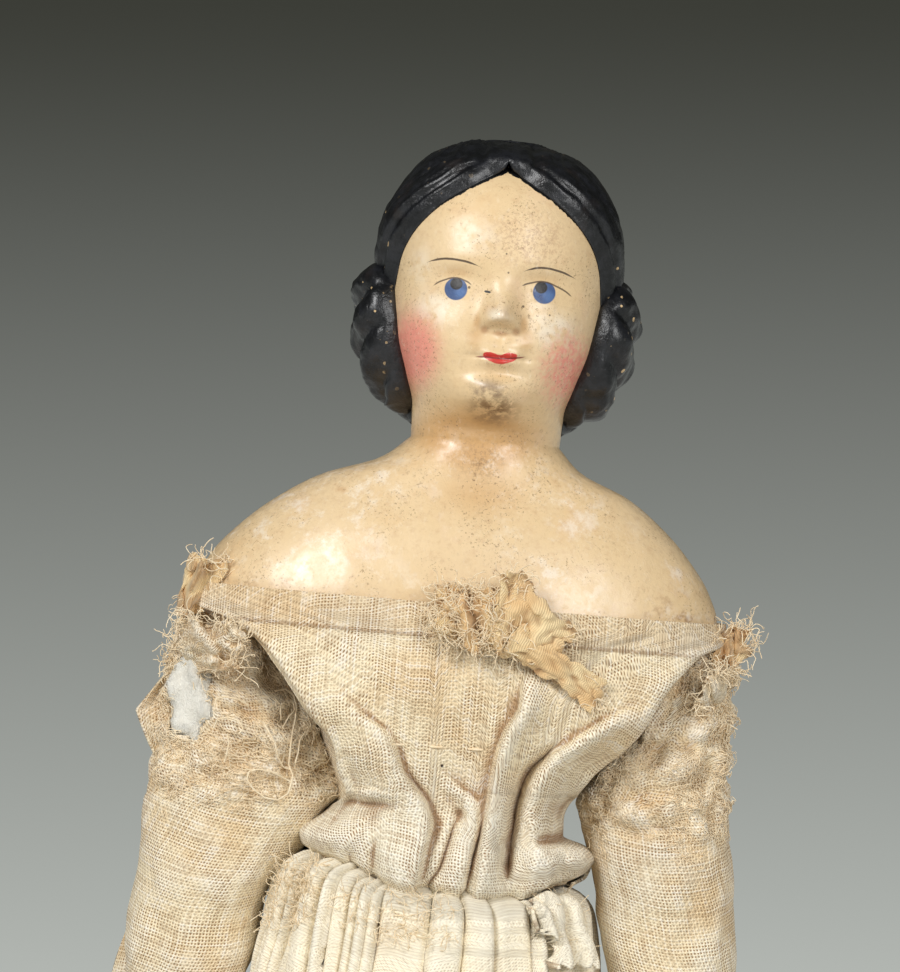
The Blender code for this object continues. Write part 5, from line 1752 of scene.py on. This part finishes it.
class DOLL_OT_torso(bpy.types.Operator):
    """Stuff the linen bag that the plate and the legs are sewn to"""

    bl_idname = "doll.torso"
    bl_label = "Torso"

    def execute(self, context):
        def rings(inset, high):
            def place(u, v):
                turn = 2 * math.pi * u
                z = mix(HIP_LEVEL + SEAM_GAP + inset * 3, high, v)
                cap = np.sqrt(np.maximum(0, 1 - smooth(0.94, 1, v) ** 2))
                width = np.maximum(TORSO_WIDTH(z) - inset, 0.5 * MM) * cap
                depth = np.maximum(TORSO_DEPTH(z) - inset, 0.4 * MM) * cap * smooth(-0.0001, 0.02, v) ** 0.2
                soft = unevenness(stack(np.cos(turn) * 0.02, np.sin(turn) * 0.02, z), 0.02, 100) * 0.3 * MM
                return level_point(width + soft * cap, depth + soft * cap, depth + soft * cap, turn, z)

            return place

        bag = shaped_grid("torso_bag", 96, 84, rings(0, TORSO_TOP))
        dress(bag, linen("bag"), "linen", "torso", "torso_casing")
        filling = shaped_grid("torso_filling", 48, 40, rings(BAG_WALL, TORSO_TOP - 1.5 * MM))
        dress(filling, stuffing_cotton(), "stuffing", "torso", "torso_stuffing")
        return {"FINISHED"}


# Kid forearm and hand: sizes, and by share of the length the shares of the full half-width and half-depth
FOREARM = 0.071
FOREARM_HALF_WIDTH = 0.0085
FOREARM_HALF_DEPTH = 0.0074
FOREARM_WIDTH = curve(
    (0, 0.96), (0.17, 0.96), (0.35, 0.85), (0.5, 0.66), (0.58, 0.54), (0.7, 0.43), (0.9, 0.32), (1, 0.12),
)
FOREARM_DEPTH = curve(
    (0, 0.1), (0.08, 0.66), (0.17, 1), (0.35, 0.95), (0.5, 0.73),
    (0.58, 0.66), (0.72, 1), (0.9, 0.82), (1, 0.4),
)
FINGER_SEAMS = (-0.45, 0.05, 0.52)
THUMB_RADIUS = 0.0019
THUMB_LENGTH = 0.0113
CUFF_SEAM = 0.0055
CUFF_STITCHES = 24


class DOLL_OT_forearms(bpy.types.Operator):
    """Sew the kid forearms with their mitten hands and stitched fingers"""

    bl_idname = "doll.forearms"
    bl_label = "Forearms and hands"

    def execute(self, context):
        for side, way in SIDES.items():
            pivot = np.array((way * ELBOW_X, 0, ELBOW_LEVEL))
            along = pivot - np.array((way * SHOULDER_X, 0, SHOULDER_LEVEL))
            along = along / np.linalg.norm(along)
            across = np.array((-along[2], 0, along[0]))

            def place(u, v):
                turn = 2 * math.pi * u
                share = v * v * (3 - 2 * v) * 0.25 + v * 0.75
                end = np.sqrt(np.maximum(0, 1 - smooth(0.96, 1, v) ** 2))
                end = end * np.sqrt(smooth(-0.00001, 0.03, v))
                width = FOREARM_HALF_WIDTH * FOREARM_WIDTH(share) * end
                depth = FOREARM_HALF_DEPTH * FOREARM_DEPTH(share) * end
                deep = rounded(np.sin(turn))
                fingers = sum(bell(deep, seam, 0.07) for seam in FINGER_SEAMS) * smooth(0.76, 0.83, share)
                width = width - fingers * 0.5 * MM * end
                tips = fingers * 1.6 * MM * smooth(0.97, 1, share)
                spot = stack(np.cos(turn) * 0.01, np.sin(turn) * 0.01, share * 0.07)
                soft = unevenness(spot, 0.011, 110) * 0.25 * MM * end
                middle = pivot + along * (FOREARM * share - tips - 0.0002)[:, None]
                side_step = across * ((width + soft) * rounded(np.cos(turn)))[:, None]
                side_step[:, 2] *= smooth(0, 0.12, share)
                return middle + side_step + np.array((0, 1.0, 0)) * ((depth + soft) * deep)[:, None]

            arm = shaped_grid(f"kid_forearm_{side}", 88, 96, place)
            root = pivot + along * FOREARM * 0.63 + np.array((0, -0.0042, 0))
            reach = along * 0.75 + np.array((0, -0.66, 0))
            reach = reach / np.linalg.norm(reach)
            sideways = np.cross(reach, across)

            def thumb(u, v):
                turn = 2 * math.pi * u
                size = THUMB_RADIUS * np.sqrt(np.maximum(0, 1 - (2 * v - 1) ** 4)) * mix(1.1, 0.8, v)
                ring = np.cos(turn)[:, None] * across + np.sin(turn)[:, None] * sideways
                return root + reach * (THUMB_LENGTH * v - 0.001)[:, None] + ring * size[:, None]

            digit = shaped_grid(f"kid_thumb_{side}", 30, 26, thumb)
            dress(digit, kid_leather(), "kid_leather", f"forearm_{side}")
            dress(arm, kid_leather(), "kid_leather", f"forearm_{side}", f"lower_arm_{side}")
            middle = pivot + along * CUFF_SEAM
            wide = across * (FOREARM_HALF_WIDTH - 0.1 * MM)
            deep = FOREARM_HALF_DEPTH * float(FOREARM_DEPTH(CUFF_SEAM / FOREARM)) + 0.2 * MM
            stitches = []
            for k in range(CUFF_STITCHES):
                turn = 2 * math.pi * (k + np.linspace(0.15, 0.85, 4))[:, None] / CUFF_STITCHES
                ring = np.cos(turn) * wide + np.sin(turn) * np.array((0, deep, 0))
                stitches.append(middle + ring + along * 0.3 * MM * (k % 2))
            seam = threads(f"forearm_seam_{side}", stitches, SEAM_RADIUS)
            dress(seam, loose_thread(), "thread", f"forearm_{side}")
        return {"FINISHED"}


# Linen leg: sizes, and by share of the length the shares of the radius across and in depth
LEG_LENGTH = 0.15
LEG_RADIUS = 0.011
LEG_TUCK = 0.002
LEG_SWELL = curve((0, 0.95), (0.1, 1), (0.3, 0.96), (0.55, 0.8), (0.7, 0.8), (0.9, 0.62), (1, 0.58))
LEG_FULLNESS = curve(
    (0, 0.1), (0.06, 0.58), (0.14, 0.84), (0.3, 0.9), (0.55, 0.78), (0.7, 0.8), (0.9, 0.6), (1, 0.58),
)
# Boot sections by share of its height from the top: reach to the toe, reach to the heel, half-width (mm)
BOOT_TOE = curve((0, 8.4), (0.3, 10.9), (0.5, 17), (0.68, 26.4), (0.86, 32), (1, 33.1))
BOOT_HEEL = curve((0, 8.4), (0.3, 9.4), (0.5, 10.9), (0.9, 10.9), (1, 10.3))
BOOT_WIDTH = curve((0, 7.4), (0.3, 7.9), (0.5, 8), (0.68, 8.8), (0.86, 8.8), (1, 8.5))
BOOT_HEIGHT = 0.0282


class DOLL_OT_legs(bpy.types.Operator):
    """Stuff the linen legs and put on the ankle boots"""

    bl_idname = "doll.legs"
    bl_label = "Legs and boots"

    def boot_points(self, way, turn, share, grow=0.0):
        toe, heel, half = (form(share) * MM + grow for form in (BOOT_TOE, BOOT_HEEL, BOOT_WIDTH))
        reach = np.where(np.cos(turn) >= 0, toe, heel)
        waist = 1 - 0.12 * bell(np.cos(turn), 0.05, 0.3) * smooth(0.6, 1, share)
        x = way * HIP_X + half * waist * rounded(np.sin(turn), 2.3)
        top = HIP_LEVEL - LEG_LENGTH - SEAM_GAP
        return stack(x, -reach * rounded(np.cos(turn), 2.3), top - share * BOOT_HEIGHT)

    def boot(self, side, way):
        def place(u, v):
            turn = 2 * math.pi * u
            close = np.minimum(smooth(0, 0.05, v) + 1e-4, smooth(1, 0.96, v) + 1e-4)
            share = np.clip((1 - v) * 1.08 - 0.04, 0, 1)
            points = self.boot_points(way, turn, share)
            crease = np.cos(points[:, 1] / 0.0034 * 2 * math.pi) * bell(points[:, 1], -0.014, 0.005)
            points[:, 2] += crease * 0.25 * MM * smooth(0.35, 0.55, share) * smooth(0.9, 0.7, share)
            centre = np.array((way * HIP_X, 0, 0))
            close = close[:, None] * np.array((1, 1, 0)) + np.array((0, 0, 1))
            return centre + (points - centre) * close

        boot = shaped_grid(f"ankle_boot_{side}", 96, 72, place)
        dress(boot, boot_leather(), "boot_leather", f"leg_{side}", f"boot_{side}")

        def sole_place(u, v):
            turn = 2 * math.pi * u
            out = np.interp(v, (0, 0.3, 0.35, 0.65, 0.7, 1), (0, 0.99, 1, 1, 0.99, 0))
            points = self.boot_points(way, turn, np.ones_like(u), 0.6 * MM)
            centre = np.array((way * HIP_X, -0.011, 0))
            points = centre + (points - centre) * np.maximum(out, 1e-4)[:, None]
            points[:, 2] = np.interp(
                v, (0.3, 0.35, 0.65, 0.7), (FLOOR, FLOOR + 0.1 * MM, FLOOR + 1.5 * MM, FLOOR + 1.6 * MM),
            )
            return points

        sole = shaped_grid(f"flat_sole_{side}", 96, 24, sole_place)
        dress(sole, boot_leather(), "boot_leather", f"leg_{side}", f"boot_sole_{side}")
        laces = []
        for k in range(6):
            for cross in (-1, 1):
                across = np.linspace(-0.5, 0.5, 7)
                share = np.clip(0.06 + 0.075 * k + across * cross * 0.07, 0, 1)
                laces.append(self.boot_points(way, across * 0.9, share, 0.35 * MM))
        lacing = threads(f"boot_lace_{side}", laces, LACE_RADIUS)
        dress(lacing, boot_leather(), "boot_leather", f"leg_{side}")

    def leg(self, side, way):
        def place(u, v):
            turn = 2 * math.pi * u
            share = 1 - v
            end = np.sqrt(smooth(0, 0.01, v) + 1e-6)
            width = LEG_RADIUS * LEG_SWELL(share) * end
            depth = LEG_RADIUS * LEG_FULLNESS(share) * end * np.sqrt(smooth(1, 0.985, v) + 1e-6)
            across, deep = np.cos(turn), np.sin(turn)
            spot = stack(across * LEG_RADIUS, deep * LEG_RADIUS, share * LEG_LENGTH + way * 0.3)
            lumps = unevenness(spot, 0.02, 120) * 0.35 + unevenness(spot, 0.007, 121) * 0.12
            soft = lumps * MM * end * smooth(1, 0.95, v)
            z = HIP_LEVEL - SEAM_GAP - share * (LEG_LENGTH + LEG_TUCK)
            return stack(way * HIP_X + (width + soft) * across, (depth + soft) * deep, z)

        leg = shaped_grid(f"linen_leg_{side}", 80, 110, place)
        dress(leg, linen("leg"), "linen", f"leg_{side}", f"leg_{side}")

    def execute(self, context):
        for side, way in SIDES.items():
            self.leg(side, way)
            self.boot(side, way)
        return {"FINISHED"}


class DOLL_OT_stage(bpy.types.Operator):
    """Set up the floor, backdrop, lights and camera"""

    bl_idname = "doll.stage"
    bl_label = "Stage"

    def lamp(self, name, watts, place, aim, size):
        data = bpy.data.lights.new(name, "AREA")
        data.energy = watts
        data.shape = "DISK"
        data.size = size
        lamp = bpy.data.objects.new(name, data)
        bpy.context.scene.collection.objects.link(lamp)
        lamp.location = place
        lamp.rotation_euler = (Vector(aim) - Vector(place)).to_track_quat("-Z", "Y").to_euler()

    def backdrop(self, colours, stage):
        """Dark above and light below, as the camera and reflections see it; even light for the rest."""
        world = bpy.data.worlds.new("backdrop")
        world.use_nodes = True
        bpy.context.scene.world = world
        f = Nodes(world.node_tree)
        across, _, height = f.split(f.node("ShaderNodeTexCoord", output="Generated"))
        rise = height * math.cos(stage.lean) - across * math.sin(stage.lean)
        half = stage.width / 2 * PICTURE_SIZE[1] / PICTURE_SIZE[0] / stage.distance
        low = f.node("ShaderNodeMapRange", None, {"Value": rise, "From Min": half, "From Max": -half})
        shade = f.blend(low**1.34, colours.backdrop_top, colours.backdrop_foot)
        rays = ("Is Camera Ray", "Is Glossy Ray", "Is Transmission Ray")
        seen = sum(f.node("ShaderNodeLightPath", output=ray) for ray in rays).above(0, 1)
        even = (1, 0.985, 0.96)
        background = f.tree.nodes["Background"]
        f.feed(background.inputs["Color"], f.blend(seen, even, shade))
        f.feed(background.inputs["Strength"], seen * (1 - stage.ambient) + stage.ambient)

    def execute(self, context):
        scene = context.scene
        stage, colours = scene.doll_stage, scene.doll_colours
        scene.view_settings.view_transform = "Standard"
        bpy.ops.object.select_all(action="DESELECT")
        bpy.ops.mesh.primitive_circle_add(
            vertices=96, radius=0.75, fill_type="NGON", location=(0, 0, FLOOR),
        )
        floor = context.object
        floor.name = "floor"
        f = Finish("floor_paper", colours.floor)
        f.cover(f.noise(f.place(), 12, 2) * 0.1, (1, 1, 1))
        floor.data.materials.append(f.done(Roughness=0.9))
        self.backdrop(colours, stage)
        breast = (0, 0, NECKLINE)
        self.lamp("key", stage.key, (-0.68, -0.88, 0.66), breast, 0.4)
        self.lamp("fill", stage.fill, (0.5, -1.05, 0.5), breast, 0.5)
        camera = bpy.data.cameras.new("camera")
        camera.sensor_fit = "HORIZONTAL"
        camera.lens = camera.sensor_width * stage.distance / stage.width
        camera.clip_start = 0.01
        eye = bpy.data.objects.new("camera", camera)
        scene.collection.objects.link(eye)
        right = Vector((math.cos(stage.lean), 0, math.sin(stage.lean)))
        above = Vector((-math.sin(stage.lean), 0, math.cos(stage.lean)))
        turn = Matrix((right, above, Vector((0, -1, 0)))).transposed()
        stand = Vector(PICTURE_MIDDLE) + Vector((0, -stage.distance, 0))
        eye.matrix_world = Matrix.Translation(stand) @ turn.to_4x4()
        scene.camera = eye
        return {"FINISHED"}


OPERATORS = (
    DOLL_OT_head,
    DOLL_OT_hair,
    DOLL_OT_torso,
    DOLL_OT_bodice,
    DOLL_OT_skirt,
    DOLL_OT_arms,
    DOLL_OT_trimming,
    DOLL_OT_forearms,
    DOLL_OT_legs,
    DOLL_OT_stage,
)


class DOLL_PT_panel(bpy.types.Panel):
    """Lists the doll's pieces"""

    bl_idname = "DOLL_PT_panel"
    bl_label = "Papier-mache doll"
    bl_space_type = "VIEW_3D"
    bl_region_type = "UI"
    bl_category = "Doll"

    def draw(self, context):
        for operator in OPERATORS:
            self.layout.operator(operator.bl_idname)


GROUPS = {"doll_sizes": DollSizes, "doll_colours": DollColours, "doll_stage": DollStage}


def register():
    for group in (*GROUPS.values(), *OPERATORS, DOLL_PT_panel):
        bpy.utils.register_class(group)
    for name, group in GROUPS.items():
        setattr(bpy.types.Scene, name, PointerProperty(type=group))


def unregister():
    for name in GROUPS:
        delattr(bpy.types.Scene, name)
    for group in (DOLL_PT_panel, *reversed(OPERATORS), *reversed(GROUPS.values())):
        bpy.utils.unregister_class(group)


def main():
    register()
    for operator in OPERATORS:
        category, name = operator.bl_idname.split(".")
        getattr(getattr(bpy.ops, category), name)()


if __name__ == "__main__":
    main()
